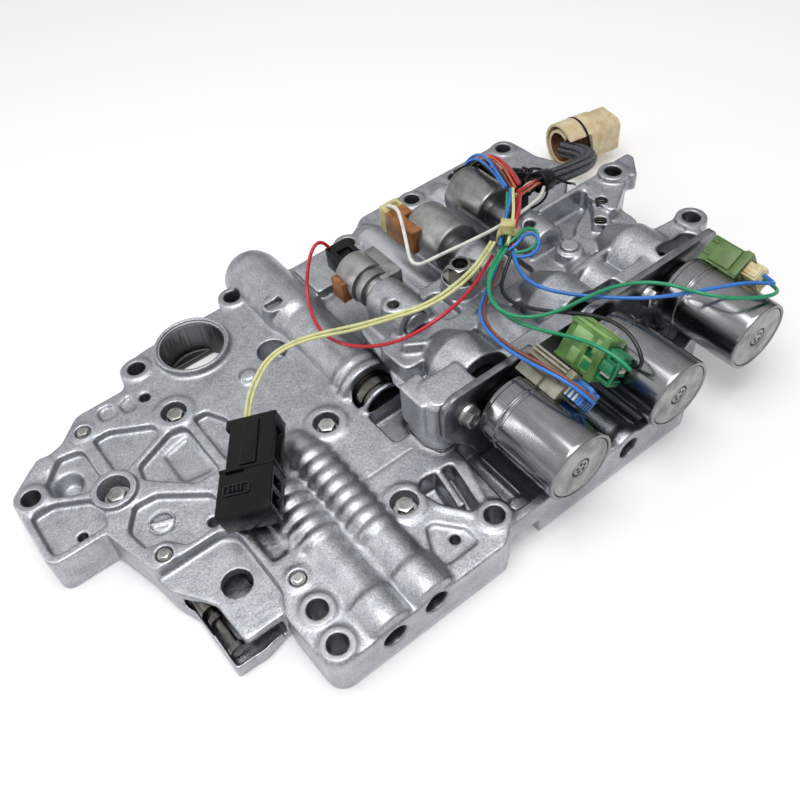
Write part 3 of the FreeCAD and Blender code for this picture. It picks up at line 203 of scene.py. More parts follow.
# Metals in several states: the light and dark of their stains, how rough
# they are, and the size and stretch (across, along, up) of their fine lines.
metalLooks = {
    "drawnSteel": ("#8f8f91", "#818183", 0.16, 0.5, (1, 0.06, 1)),        # bright can, polished by its draw
    "wornSteel": ("#8f8f8e", "#6a6968", 0.3, 0.9, (1, 0.3, 1)),          # old can with rubbed streaks
    "dullSteel": ("#a9a9a8", "#848483", 0.4, 0.7, (1, 1, 1)),            # blasted end of a can
    "sheetSteel": ("#8a8b8f", "#6c6d72", 0.3, 1.8, (1, 1, 1)),          # dark grey cold rolled plate
    "zincSteel": ("#c9c9c6", "#94938e", 0.26, 0.8, (1, 1, 1)),           # silver plated screw
    "turnedAluminium": ("#b9bcbf", "#8a8d91", 0.28, 0.4, (1, 4, 1)),     # lathe lines round a spool
    "blackChrome": ("#a09e9a", "#6c6a67", 0.14, 1.4, (1, 1, 1)),         # dark glossy bolt
    "oiledSteel": ("#6e6c69", "#45433f", 0.28, 0.9, (1, 1, 1)),           # brown black film on a sliding part
    "paintedShadeRecess": ("#26262a", "#101013", 0.5, 1.0, (1, 1, 1)),           # painted shade: the bottom of a screw's socket and pressed pits
}


def metal(name):
    light, dark, roughness, lineMm, stretch = metalLooks[name]
    return stainedFinish(name, {
        "stain": (8.0, 5.0), "grain": (lineMm, 3.0), "stretch": stretch, "tint": (0.3, 0.7, 0.88, 1.06),
        "stops": [(0.34, linearColor(dark)), (0.6, linearColor(light))],
        "gloss": (0.3, 0.7, roughness + 0.1, roughness - 0.03), "glossBy": "stain", "bump": (0.14, 0.03),
        "shader": {"Metallic": 1.0}})


# Moulded plastics and rubbers: colour, stain, roughness, and how much light
# passes into them.
plasticLooks = {
    "agedCream": ("#dcccaa", "#c6ab7c", 0.42, 0.08),     # yellowed nylon with oil marks
    "rustyBrown": ("#7a4a26", "#3c2415", 0.5, 0.0),      # oil baked on the inside of the bore
    "greyCream": ("#807d64", "#5e5c47", 0.36, 0.1),       # grey nylon gone yellow
    "paleGrey": ("#9f9e8f", "#817f6e", 0.38, 0.1),        # lighter lower half of the same
    "leafGreen": ("#6f9a56", "#4c7239", 0.3, 0.2),       # cloudy green, light shows through
    "brightGreen": ("#9cc07c", "#7aa15c", 0.28, 0.2),    # painted highlight: lighter green for ribs that catch the light
    "oliveGreen": ("#5f7d42", "#496431", 0.42, 0.12),    # plain dull olive
    "pineGreen": ("#2d8f62", "#1c6f49", 0.3, 0.12),      # deep green plug
    "blueNylon": ("#2a78c8", "#1b579c", 0.3, 0.06),      # strong blue plug
    "creamNylon": ("#e0d6ac", "#c7ae72", 0.38, 0.12),    # pale cream
    "yellowNylon": ("#ccc58c", "#b0a45e", 0.34, 0.2),    # cloudy yellow
    "amberResin": ("#a2682f", "#6b3c18", 0.34, 0.12),    # brown terminal block
    "whiteNylon": ("#e4e8e2", "#c8cdc4", 0.34, 0.05),
    "blackNylon": ("#050607", "#0b0c0e", 0.24, 0.0),     # glossy black plug
    "slateNylon": ("#26282c", "#1a1b1f", 0.3, 0.0),      # rubbed high spot on black
    "blackRubber": ("#101010", "#1a1a1a", 0.55, 0.0),
    "blackTape": ("#121214", "#26262a", 0.36, 0.0),
}
blackPlastics = ("blackNylon", "slateNylon", "blackRubber", "blackTape")
blackGloss = 0.2  # oily black shows little sheen beside bare metal


def plastic(name):
    color, stain, roughness, through = plasticLooks[name]
    return stainedFinish(name, {
        "stain": (5.0, 4.0), "grain": (0.5, 2.0),
        "stops": [(0.4, linearColor(color)), (0.72, linearColor(stain))],
        "gloss": (0.3, 0.7, roughness - 0.05, roughness + 0.08), "glossBy": "grain", "bump": (0.1, 0.03),
        "shader": {"IOR": 1.53, "Specular IOR Level": blackGloss if name in blackPlastics else 0.5,
                   "Subsurface Weight": through, "Subsurface Radius": (0.002, 0.0016, 0.0008)}})


# PVC insulation: smooth and glossy, with faint grime along it.
wireColors = {
    "yellow": "#d9da9c", "red": "#c4222e", "white": "#e6e5dd", "blue": "#2f78cf", "green": "#1c9465",
    "black": "#18181c", "brown": "#874a3a", "orange": "#d4663a",
}


def insulation(colorName):
    clean = linearColor(wireColors[colorName])
    grimy = tuple(c * 0.66 for c in clean[:3]) + (1.0,)
    return stainedFinish(colorName + "Insulation", {
        "stain": (5.0, 3.0), "grain": (0.8, 2.0), "stops": [(0.46, clean), (0.8, grimy)],
        "gloss": (0.4, 0.8, 0.24, 0.42), "glossBy": "stain", "bump": (0.08, 0.04), "shader": {"IOR": 1.52}})


# Monofilament braid: dull slate strands that shine a little on their crowns.
def braidNylon():
    return stainedFinish("braidNylon", {
        "stain": (0.7, 2.0), "grain": (0.7, 2.0),
        "stops": [(0.35, linearColor("#202228")), (0.7, linearColor("#6a6e78"))],
        "gloss": (0.3, 0.7, 0.36, 0.55), "glossBy": "stain", "bump": (0.0, 0.03), "shader": {}})


materials = {"dieCastAluminium": dieCastAluminium(), "braidNylon": braidNylon()}
for lookName in metalLooks:
    materials[lookName] = metal(lookName)
for lookName in plasticLooks:
    materials[lookName] = plastic(lookName)
for colorName in wireColors:
    materials[colorName] = insulation(colorName)
print("materials made", len(materials))


# Meshes

def linkPiece(name, mesh):
    piece = bpy.data.objects.new(name, mesh)
    bpy.context.scene.collection.objects.link(piece)
    return piece


def plainMesh(piece):
    depsgraph = bpy.context.evaluated_depsgraph_get()
    mesh = bpy.data.meshes.new_from_object(piece.evaluated_get(depsgraph))
    piece.modifiers.clear()
    piece.data = mesh
    return mesh


# Gives a piece its finish, its body and the nodes whose place it takes. A
# piece made by a tree, which has its materials already, gives no names. A
# piece that only adds to a node takes no place.
def settle(piece, nodeNames, materialNames, sharpDegrees=35, rides=True, takesPlace=True):
    mesh = piece.data
    if materialNames is not None:
        numbers = np.zeros(len(mesh.polygons), dtype=np.int32)
        mesh.polygons.foreach_get("material_index", numbers)
        mesh.materials.clear()
        for materialName in materialNames:
            mesh.materials.append(materials[materialName])
        mesh.polygons.foreach_set("material_index", np.minimum(numbers, len(materialNames) - 1))
    mesh.shade_smooth()
    mesh.set_sharp_from_angle(angle=math.radians(sharpDegrees))
    if rides:
        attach(piece, nodeBody[nodeNames[0]])
    if takesPlace:
        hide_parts(*nodeNames)
    return piece


def mergedMesh(nodeName, flatDegrees):
    mesh = frame["nodes"][nodeName].data.copy()
    work = bmesh.new()
    work.from_mesh(mesh)
    bmesh.ops.remove_doubles(work, verts=work.verts, dist=0.00001)
    if flatDegrees > 0:
        bmesh.ops.dissolve_limit(work, angle_limit=math.radians(flatDegrees), verts=work.verts,
                                 edges=work.edges)
    for face in work.faces:
        face.material_index = 0
    work.to_mesh(mesh)
    work.free()
    return mesh


# A CAD node with its edges broken, as moulding and tumbling leave them.
def brokenEdges(nodeName, widthMm, segments=2):
    piece = linkPiece(nodeName + "Finish", mergedMesh(nodeName, 1.0))
    bevel = piece.modifiers.new("edges", "BEVEL")
    bevel.width = widthMm * mm
    bevel.segments = segments
    bevel.limit_method = "ANGLE"
    bevel.angle_limit = math.radians(40)
    bevel.use_clamp_overlap = True
    plainMesh(piece)
    return piece


def softened(nodeName, materialName, widthMm, segments=2):
    return settle(brokenEdges(nodeName, widthMm, segments), [nodeName], [materialName])


# Points of a profile (along, radius, round) with its corners rounded off.
def roundedProfile(points):
    out = []
    for i, (along, radius, roundOff) in enumerate(points):
        here = Vector((along, radius))
        if roundOff <= 0 or i in (0, len(points) - 1):
            out.append(here)
            continue
        before = Vector(points[i - 1][:2]) - here
        after = Vector(points[i + 1][:2]) - here
        reach = min(roundOff, before.length * 0.49, after.length * 0.49)
        start = here + before.normalized() * reach
        end = here + after.normalized() * reach
        for k in range(6):
            t = k / 5
            out.append(start * (1 - t) ** 2 + here * (2 * t * (1 - t)) + end * t ** 2)
    return out


# World point of (u, v, w) in mm, measured from a place on three axes.
def placeOn(place, *axes):
    def at(*spot):
        return Vector([(place[i] + sum(s * axis[i] for s, axis in zip(spot, axes))) * mm for i in range(3)])
    return at


xAxis, yAxis, zAxis = (1, 0, 0), (0, 1, 0), (0, 0, 1)


# Gives up the work as a plain mesh.
def workedMesh(work, name):
    bmesh.ops.recalc_face_normals(work, faces=work.faces)
    mesh = bpy.data.meshes.new(name)
    work.to_mesh(mesh)
    work.free()
    return mesh


# Skins rings of world points in turn. A ring of one point closes to a tip.
def skinRings(name, rings, capped=False):
    work = bmesh.new()
    rings = [[work.verts.new(spot) for spot in ring] for ring in rings]
    steps = max(len(ring) for ring in rings)
    for first, second in zip(rings, rings[1:]):
        for k in range(steps):
            n = k + 1
            corners = [first[k % len(first)], first[n % len(first)], second[n % len(second)],
                       second[k % len(second)]]
            corners = list(dict.fromkeys(corners))
            if len(corners) > 2:
                work.faces.new(corners)
    if capped:
        work.faces.new(list(reversed(rings[0])))
        work.faces.new(rings[-1])
    return workedMesh(work, name)


# A turned piece. place gives the world point for (along, across, up).
def latheMesh(points, place, steps=96):
    rings = []
    for along, radius in roundedProfile(points):
        if radius < 1e-6:
            rings.append([place(along, 0, 0)])
            continue
        angles = [2 * math.pi * k / steps for k in range(steps)]
        rings.append([place(along, radius * math.cos(angle), radius * math.sin(angle)) for angle in angles])
    return skinRings("turned", rings)


# A moulded block with rounded edges between two corners, in mm of a frame
# of its own. place gives its world point.
def blockMesh(low, high, roundMm, place):
    work = bmesh.new()
    bmesh.ops.create_cube(work, size=1.0)
    for vert in work.verts:
        vert.co = Vector([low[i] + (high[i] - low[i]) * (vert.co[i] + 0.5) for i in range(3)])
    bmesh.ops.bevel(work, geom=work.edges, offset=roundMm, segments=2, affect="EDGES", profile=0.6,
                    clamp_overlap=True)
    for vert in work.verts:
        vert.co = place(*vert.co)
    return workedMesh(work, "block")


# Joins (mesh, number of its material) pairs.
def joinMeshes(name, pairs):
    work = bmesh.new()
    for mesh, number in pairs:
        first = len(work.faces)
        work.from_mesh(mesh)
        work.faces.ensure_lookup_table()
        for face in work.faces[first:]:
            face.material_index = number
    joined = bpy.data.meshes.new(name)
    work.to_mesh(joined)
    work.free()
    return joined


# A node with its edges broken and more meshes on it, each with its material.
def builtUp(pieceName, nodeName, widthMm, segments, baseName, additions):
    base = brokenEdges(nodeName, widthMm, segments)
    names = [baseName]
    pairs = [(base.data, 0)]
    for mesh, materialName in additions:
        if materialName not in names:
            names.append(materialName)
        pairs.append((mesh, names.index(materialName)))
    piece = linkPiece(pieceName, joinMeshes(pieceName, pairs))
    bpy.data.objects.remove(base)
    settle(piece, [nodeName], names)


# Camera, floor and light

cameraView = {
    "place": (-0.0487, -0.1399, 0.321), "lens": 39.71, "right": (0.78992, -0.60802, -0.07955),
    "up": (0.50575, 0.57264, 0.64521), "back": (-0.34675, -0.5499, 0.75985),
}


def addCamera():
    data = bpy.data.cameras.new("camera")
    data.lens = cameraView["lens"]
    data.clip_start = 0.01
    data.clip_end = 20
    camera = bpy.data.objects.new("camera", data)
    bpy.context.scene.collection.objects.link(camera)
    turn = Matrix((cameraView["right"], cameraView["up"], cameraView["back"])).transposed().to_4x4()
    camera.matrix_world = Matrix.Translation(cameraView["place"]) @ turn
    bpy.context.scene.camera = camera


# Each lamp is (place, width and height, power). All aim at the middle. room
# is a span along roomAxis, from the dark side to the bright ceiling.
studio = {
    "floorSize": 6.0, "floor": "#f4f4f4", "ambient": 0.5, "floorGlow": 0.16, "middle": (0.1, 0.08, 0.02),
    "roomAxis": (-0.3, 0.0, 0.95), "room": (-0.1, 0.6, 0.16, 0.88),
    "lamps": {"topSoftbox": ((0.0, 0.0, 0.85), (0.6, 0.5), 4.2),
        "leftStrip": ((-0.56, 0.5, 0.36), (0.05, 0.6), 0.7)},
}


def addFloor():
    half = studio["floorSize"] / 2
    mesh = bpy.data.meshes.new("floor")
    low = cadLow.z - 0.0001
    mesh.from_pydata([(-half, -half, low), (half, -half, low), (half, half, low), (-half, half, low)], [],
                     [(0, 1, 2, 3)])
    floor = linkPiece("floor", mesh)
    material, tree, shader = newMaterial("paperFloor")
    shader.inputs["Base Color"].default_value = linearColor(studio["floor"])
    shader.inputs["Roughness"].default_value = 0.9
    shader.inputs["Specular IOR Level"].default_value = 0.1
    seen = addNode(tree, "ShaderNodeLightPath")
    either = addNode(tree, "ShaderNodeMath", {"operation": "MAXIMUM"},
                     {0: seen.outputs["Is Camera Ray"], 1: seen.outputs["Is Glossy Ray"]})
    either = addNode(tree, "ShaderNodeMath", {"operation": "MAXIMUM"},
                     {0: either, 1: seen.outputs["Is Transmission Ray"]})
    glow = addNode(tree, "ShaderNodeMath", {"operation": "MULTIPLY", 1: studio["floorGlow"]}, {0: either})
    shader.inputs["Emission Color"].default_value = (1, 1, 1, 1)
    tree.links.new(glow.outputs[0], shader.inputs["Emission Strength"])
    mesh.materials.append(material)


def addLamps():
    for name, (place, size, power) in studio["lamps"].items():
        data = bpy.data.lights.new(name, "AREA")
        data.shape = "RECTANGLE"
        data.size, data.size_y = size
        data.energy = power
        lamp = bpy.data.objects.new(name, data)
        lamp.location = place
        lamp.rotation_mode = "QUATERNION"
        lamp.rotation_quaternion = (Vector(studio["middle"]) - Vector(place)).to_track_quat("-Z", "Y")
        bpy.context.scene.collection.objects.link(lamp)


# The world is white to the camera. Metal sees a bright ceiling that falls off
# into a darker room low down and towards the right.
def addWorld():
    world = bpy.data.worlds.new("studio")
    bpy.context.scene.world = world
    world.use_nodes = True
    tree = world.node_tree
    background = tree.nodes["Background"]
    seen = addNode(tree, "ShaderNodeLightPath")
    either = addNode(tree, "ShaderNodeMath", {"operation": "MAXIMUM"},
                     {0: seen.outputs["Is Camera Ray"], 1: seen.outputs["Is Transmission Ray"]})
    place = addNode(tree, "ShaderNodeTexCoord").outputs["Generated"]
    toRoom = addNode(tree, "ShaderNodeVectorMath", {"operation": "DOT_PRODUCT", 1: studio["roomAxis"]},
                     {0: place})
    room = addNode(tree, "ShaderNodeMapRange", dict(zip(spanKeys, studio["room"])),
                   {"Value": toRoom.outputs["Value"]})
    glossy = addNode(tree, "ShaderNodeMix", {"data_type": "FLOAT", 2: studio["ambient"]},
                     {0: seen.outputs["Is Glossy Ray"], 3: room})
    strength = addNode(tree, "ShaderNodeMix", {"data_type": "FLOAT", 3: 1.0}, {0: either, 2: glossy})
    background.inputs["Color"].default_value = (1, 1, 1, 1)
    tree.links.new(strength.outputs[0], background.inputs["Strength"])


addCamera()
addFloor()
addLamps()
addWorld()
bpy.context.scene.view_settings.view_transform = "Standard"
print("camera, floor and lights set")


# Castings

# Lists are in mm. A seat or a crisp spot is (x, y) or (x, y, reach), a ring or
# a hole (x, y, reach, height of its mouth), and a bore along y is (x, z, where
# it begins, where it ends, reach).
castings = {
    "voxelMm": 0.5, "smoothRounds": 20, "share": 0.5, "held": 0.38, "nearRounds": 3, "wideRounds": 9,
    "seatReach": 7.0, "seatDepth": 0.35, "seatWall": 4.7, "boltHole": 5.2, "ringSeat": (18.9, 23.6),
    "mark": (-25.4, 93.4, 6.6),
    # Where the painted shade, with oil, begins below the mouth of a hole or bore, and how deep it runs and
    # how dark it grows in each kind of hole.
    "mouthDepth": 1.0, "boreMouth": 1.5,
    "boltDark": (4.0, 0.9), "holeDark": (4.0, 0.85), "ringDark": (5.0, 0.85), "boreDark": (6.0, 0.85),
    "lower_casting": {
        "keepTriangles": 195000, "top": 21.0, "foot": 0.3, "front": -math.inf,
        "seats": [(0.0, 0.0), (2.0, 16.4), (80.2, 4.7), (-63.8, 138.5), (5.5, 176.8), (65.8, 188.9),
                  (134.0, 183.0), (182.3, 188.8), (213.0, 187.6), (250.6, 189.7)],
        "rings": [(32.8, 170.1, 17.0, 24.0)],
        "holes": [(-15.2, 49.6, 6.6, 15.5)],
        "bores": [(83.6, 16.0, 90.0, 200.0, 11.4), (-28.8, 8.0, 40.0, 112.0, 5.2),
                  (20.1, 12.5, -9.0, 70.0, 6.0), (40.1, 14.6, -9.0, 70.0, 6.0),
                  (149.4, 12.6, -4.2, 75.0, 6.0)],
        "crisp": [(-25.4, 93.4, 6.6), (-34.0, 118.0, 11.0), (6.5, 140.5, 7.0), (55.8, 89.0, 7.0),
                  (56.4, 33.0, 7.0), (-31.0, 158.0, 4.5), (-32.0, 76.5, 4.5), (3.6, 32.4, 4.5),
                  (-54.4, 109.2, 3.5), (-8.4, 79.6, 3.5), (61.8, 7.4, 3.5), (-15.2, 49.6, 8.0),
                  (75.6, 160.5, 7.5), (61.5, 143.5, 8.5)]},
    "upper_casting": {
        "keepTriangles": 140000, "top": 51.0, "foot": -math.inf, "front": 41.8,
        "seats": [(246.6, 54.0), (246.8, 104.0)],
        "rings": [],
        "holes": [(219.1, 85.1, 3.8, 44.0), (228.8, 93.9, 3.8, 44.0), (105.5, 100.5, 3.2, 51.0),
                  (186.5, 100.0, 3.2, 48.0)],
        "bores": [],
        "crisp": [(105.5, 100.5, 4.0), (186.5, 100.0, 4.0), (219.1, 85.1, 4.5), (228.8, 93.9, 4.5),
                  (142.0, 98.0, 10.0), (193.5, 80.1, 5.5)]},
}


def meshArrays(mesh):
    spots = np.empty(len(mesh.vertices) * 3)
    mesh.vertices.foreach_get("co", spots)
    ends = np.empty(len(mesh.edges) * 2, dtype=np.int64)
    mesh.edges.foreach_get("vertices", ends)
    return spots.reshape(-1, 3), ends.reshape(-1, 2)


# Moves each point towards the middle of its neighbours, by its own share.
def smoothSpots(spots, ends, share, rounds):
    spots = spots.copy()
    count = len(spots)
    both = np.concatenate([ends[:, 0], ends[:, 1]])
    others = np.concatenate([ends[:, 1], ends[:, 0]])
    valence = np.maximum(np.bincount(both, minlength=count), 1)
    for _ in range(rounds):
        for axis in range(3):
            middle = np.bincount(both, weights=spots[others, axis], minlength=count) / valence
            spots[:, axis] += share * (middle - spots[:, axis])
    return spots


# 1 where a face or bore was cut after casting, 0 on the skin.
def machinedShare(spots, cast):
    x, y, z = (spots / mm).T
    cut = (z < cast["foot"]) | (y < cast["front"])
    for mx, my in cast["seats"]:
        away = np.hypot(x - mx, y - my)
        cut |= (away < castings["seatReach"]) & (z > cast["top"] - castings["seatDepth"])
        cut |= away < castings["seatWall"]
    for rx, ry, reach, _ in cast["rings"]:
        away = np.hypot(x - rx, y - ry)
        seatReach, seatHeight = castings["ringSeat"]
        cut |= ((away < seatReach) & (z > seatHeight)) | (away < reach)
    for bx, bz, near, far, reach in cast["bores"]:
        cut |= (np.hypot(x - bx, z - bz) < reach) & (y > near) & (y < far)
    return cut.astype(float)


# Grows from 0 at the mouth of each through hole to most of 1 down its wall,
# each kind by its own (depth in mm, most). The bore layer paints shade, with
# oil, by this share.
def boreShare(spots, cast):
    x, y, z = (spots / mm).T
    share = np.zeros(len(spots))
    holes = [(mx, my, castings["boltHole"], cast["top"], "boltDark") for mx, my in cast["seats"]]
    holes += [(*hole, "holeDark") for hole in cast["holes"]]
    holes += [(*ring, "ringDark") for ring in cast["rings"]]
    for hx, hy, reach, mouth, kind in holes:
        depth, most = castings[kind]
        inside = np.hypot(x - hx, y - hy) < reach
        share = np.maximum(share, inside * np.clip((mouth - castings["mouthDepth"] - z) / depth, 0, most))
    depth, most = castings["boreDark"]
    for bx, bz, near, far, reach in cast["bores"]:
        inside = (np.hypot(x - bx, z - bz) < reach) & (y < far)
        share = np.maximum(share, inside * np.clip((y - near - castings["boreMouth"]) / depth, 0, most))
    return share


# 1 where the small marks and seats keep their edges.
def crispShare(spots, cast):
    x, y, _ = (spots / mm).T
    crisp = np.zeros(len(spots), dtype=bool)
    for cx, cy, reach in cast["crisp"]:
        crisp |= np.hypot(x - cx, y - cy) < reach
    return crisp.astype(float)


def castPiece(nodeName, pieceName):
    cast = castings[nodeName]
    piece = linkPiece(pieceName, mergedMesh(nodeName, 0.0))
    remesh = piece.modifiers.new("voxels", "REMESH")
    remesh.mode = "VOXEL"
    remesh.voxel_size = castings["voxelMm"] * mm
    remesh.adaptivity = 0.0
    mesh = plainMesh(piece)
    spots, ends = meshArrays(mesh)
    hold = np.maximum(machinedShare(spots, cast), crispShare(spots, cast))
    spots = smoothSpots(spots, ends, castings["share"] - castings["held"] * hold, castings["smoothRounds"])
    mesh.vertices.foreach_set("co", spots.ravel())
    mesh.update()
    triangles = sum(len(p.vertices) - 2 for p in mesh.polygons)
    thin = piece.modifiers.new("thin", "DECIMATE")
    thin.ratio = min(1.0, cast["keepTriangles"] / triangles)
    mesh = plainMesh(piece)
    spots, ends = meshArrays(mesh)
    normals = np.empty(len(spots) * 3)
    mesh.vertex_normals.foreach_get("vector", normals)
    normals = normals.reshape(-1, 3)
    even = np.full(len(spots), castings["share"])
    near = smoothSpots(spots, ends, even, castings["nearRounds"])
    # How far each point lies below its wider neighbourhood: the cavity layer paints shade, with oil, there.
    wide = smoothSpots(near, ends, even, castings["wideRounds"])
    # How far each point stands out from its near neighbourhood: the edge layer paints a pale highlight, with
    # some rubbing, there, but not on the small ring's mark.
    ridge = ((spots - near) * normals).sum(1) / mm
    mx, my, reach = castings["mark"]
    ridge[np.hypot(spots[:, 0] / mm - mx, spots[:, 1] / mm - my) < reach] = 0.0
    shares = {"cavity": ((wide - spots) * normals).sum(1) / mm, "edge": ridge, "bore": boreShare(spots, cast),
              "machined": machinedShare(spots, cast)}
    for label, values in shares.items():
        mesh.attributes.new(label, "FLOAT", "POINT").data.foreach_set("value", values)
    settle(piece, [nodeName], ["dieCastAluminium"], 60)
    print(nodeName, "triangles", triangles, "kept", cast["keepTriangles"])


castPiece("lower_casting", "lowerCasting")
castPiece("upper_casting", "upperCasting")


# Profiles as (height, radius, rounding) above their places.
castMarks = {
    "place": (-25.4, 93.4, 16.4), "rim": (32.8, 170.1, 24.05),
    "ring": [(-0.6, 4.75, 0), (0.5, 4.9, 0.2), (0.7, 5.3, 0.3), (0.5, 5.7, 0.2), (-0.6, 5.85, 0)],
    "bar": ((-4.6, -0.6, -0.6), (4.6, 0.6, 0.7), 0.35), "barLean": -22.6,
    "lip": [(-2.6, 18.35, 0), (-0.5, 18.35, 0.2), (0.0, 17.9, 0.2), (0.0, 17.2, 0.2), (-0.9, 16.9, 0.2),
            (-0.9, 15.9, 0.2), (-1.6, 15.5, 0.2), (-2.8, 15.5, 0.2), (-3.4, 16.6, 0)],
}


# The small ring with its bar, and the turned lip of the large ring.
def smallMarks():
    look = castMarks
    lean = math.radians(look["barLean"])
    along, across = (math.cos(lean), math.sin(lean), 0), (-math.sin(lean), math.cos(lean), 0)
    pairs = [(latheMesh(look["ring"], placeOn(look["place"], zAxis, xAxis, yAxis), 64), 0),
             (blockMesh(*look["bar"], placeOn(look["place"], along, across, zAxis)), 0),
             (latheMesh(look["lip"], placeOn(look["rim"], zAxis, xAxis, yAxis), 128), 0)]
    piece = linkPiece("smallMarks", joinMeshes("smallMarks", pairs))
    settle(piece, ["lower_casting"], ["dieCastAluminium"], 50, takesPlace=False)


smallMarks()
print("castings done")


# Screws, threads and moulded ribs, as Geometry Nodes

# Starts a tree with its named inputs, each of a kind, and returns it with
# what they give.
def startTree(name, inputs):
    tree = bpy.data.node_groups.new(name, "GeometryNodeTree")
    for label, kind in inputs.items():
        tree.interface.new_socket(name=label, in_out="INPUT", socket_type="NodeSocket" + kind)
    tree.interface.new_socket(name="Result", in_out="OUTPUT", socket_type="NodeSocketGeometry")
    return tree, dict(addNode(tree, "NodeGroupInput").outputs.items())


# Makes the instances real, in one material, and hands them out.
def endTree(tree, spread, finish, marked=None):
    real = addNode(tree, "GeometryNodeRealizeInstances", {}, {0: spread})
    coated = addNode(tree, "GeometryNodeSetMaterial", {}, {"Geometry": real, "Material": finish})
    if marked:
        label, markFinish = marked
        mark = addNode(tree, "GeometryNodeInputNamedAttribute", {"data_type": "FLOAT", "Name": label})
        coated = addNode(tree, "GeometryNodeSetMaterial", {},
                         {"Geometry": coated, "Selection": mark, "Material": markFinish})
    addNode(tree, "NodeGroupOutput", {}, {0: coated})
    return tree


screwSizes = ("Across Flats", "Head Height", "Washer Radius", "Washer Height", "Recess Radius",
              "Recess Depth", "Shank Radius", "Shank Length")
boltShape = {
    # a size that follows: the size it comes from, times a factor, plus another
    "sizes": {"corner": ("Across Flats", 0.5774, None), "headMiddle": ("Head Height", 0.5, "Washer Height"),
              "crownTop": ("Across Flats", 0.47, None), "crownFoot": ("Head Height", 1.75, "crownTop"),
              "top": ("Head Height", 1.0, "Washer Height"), "drillDepth": ("Recess Depth", 2.0, None),
              "washerTop": ("Washer Radius", 0.93, None), "shankMiddle": ("Shank Length", -0.5, None),
              "discRadius": ("Recess Radius", 0.96, None), "discHeight": ("Recess Depth", -1.0, "top")},
    # a part: its kind, own settings, the sizes it takes and how high it stands
    "parts": {"flats": ("Cylinder", {"Vertices": 6}, {"Radius": "corner", "Depth": "Head Height"},
                        "headMiddle"),
              "crown": ("Cone", {"Vertices": 48},
                        {"Radius Top": "crownTop", "Radius Bottom": "crownFoot", "Depth": "Head Height"},
                        "Washer Height"),
              "drill": ("Cylinder", {"Vertices": 32}, {"Radius": "Recess Radius", "Depth": "drillDepth"},
                        "top"),
              "washer": ("Cone", {"Vertices": 48},
                         {"Radius Top": "washerTop", "Radius Bottom": "Washer Radius",
                          "Depth": "Washer Height"}, None),
              "shank": ("Cylinder", {"Vertices": 24}, {"Radius": "Shank Radius", "Depth": "Shank Length"},
                        "shankMiddle"),
              "disc": ("Cylinder", {"Vertices": 32, "Depth": 0.2 * mm}, {"Radius": "discRadius"},
                       "discHeight")},
}


# A bolt head on every point of a mesh: washer face, six flats with a
# chamfered crown and a recess, each turned by its own random angle.
def boltTree():
    inputs = {"Places": "Geometry"}
    inputs.update((label, "Float") for label in screwSizes)
    inputs.update({"Aim": "Vector", "Turn Seed": "Int", "Metal": "Material", "Recess Finish": "Material"})
    tree, size = startTree("flangedBolts", inputs)
    for label, (source, factor, added) in boltShape["sizes"].items():
        links = {0: size[source], 2: size[added]} if added else {0: size[source]}
        size[label] = addNode(tree, "ShaderNodeMath", {"operation": "MULTIPLY_ADD", 1: factor, 2: 0.0}, links)
    part = {}
    for label, (kind, settings, sizes, height) in boltShape["parts"].items():
        links = {key: size[source] for key, source in sizes.items()}
        part[label] = addNode(tree, "GeometryNodeMesh" + kind, settings, links)
        if height:
            lift = addNode(tree, "ShaderNodeCombineXYZ", {}, {"Z": size[height]})
            part[label] = addNode(tree, "GeometryNodeTransform", {},
                                  {"Geometry": part[label], "Translation": lift})
    head = addNode(tree, "GeometryNodeMeshBoolean", {"operation": "INTERSECT", "solver": "EXACT"},
                   {"Mesh 2": part["flats"]})
    tree.links.new(part["crown"].outputs[0], head.inputs["Mesh 2"])
    head = addNode(tree, "GeometryNodeMeshBoolean", {"operation": "DIFFERENCE", "solver": "EXACT"},
                   {"Mesh 1": head, "Mesh 2": part["drill"]})
    # A thin disc at the bottom of the recess, in the recess finish; in the near black one it is painted
    # shade.
    disc = addNode(tree, "GeometryNodeStoreNamedAttribute",
                   {"data_type": "FLOAT", "domain": "FACE", "Name": "recess", "Value": 1.0},
                   {"Geometry": part["disc"]})
    bolt = addNode(tree, "GeometryNodeJoinGeometry", {}, {0: disc})
    for piece in (part["shank"], part["washer"], head):
        tree.links.new(piece.outputs[0], bolt.inputs[0])
    aim = addNode(tree, "FunctionNodeAlignRotationToVector", {"axis": "Z"}, {"Vector": size["Aim"]})
    spread = addNode(tree, "GeometryNodeInstanceOnPoints", {},
                     {"Points": size["Places"], "Instance": bolt, "Rotation": aim})
    chance = addNode(tree, "FunctionNodeRandomValue", {"data_type": "FLOAT", 2: 0.0, 3: math.radians(60)},
                     {8: size["Turn Seed"]})
    spin = addNode(tree, "ShaderNodeCombineXYZ", {}, {"Z": chance.outputs[1]})
    turn = addNode(tree, "FunctionNodeEulerToRotation", {}, {0: spin})
    spread = addNode(tree, "GeometryNodeRotateInstances", {"Local Space": True},
                     {"Instances": spread, "Rotation": turn})
    return endTree(tree, spread, size["Metal"], ("recess", size["Recess Finish"]))


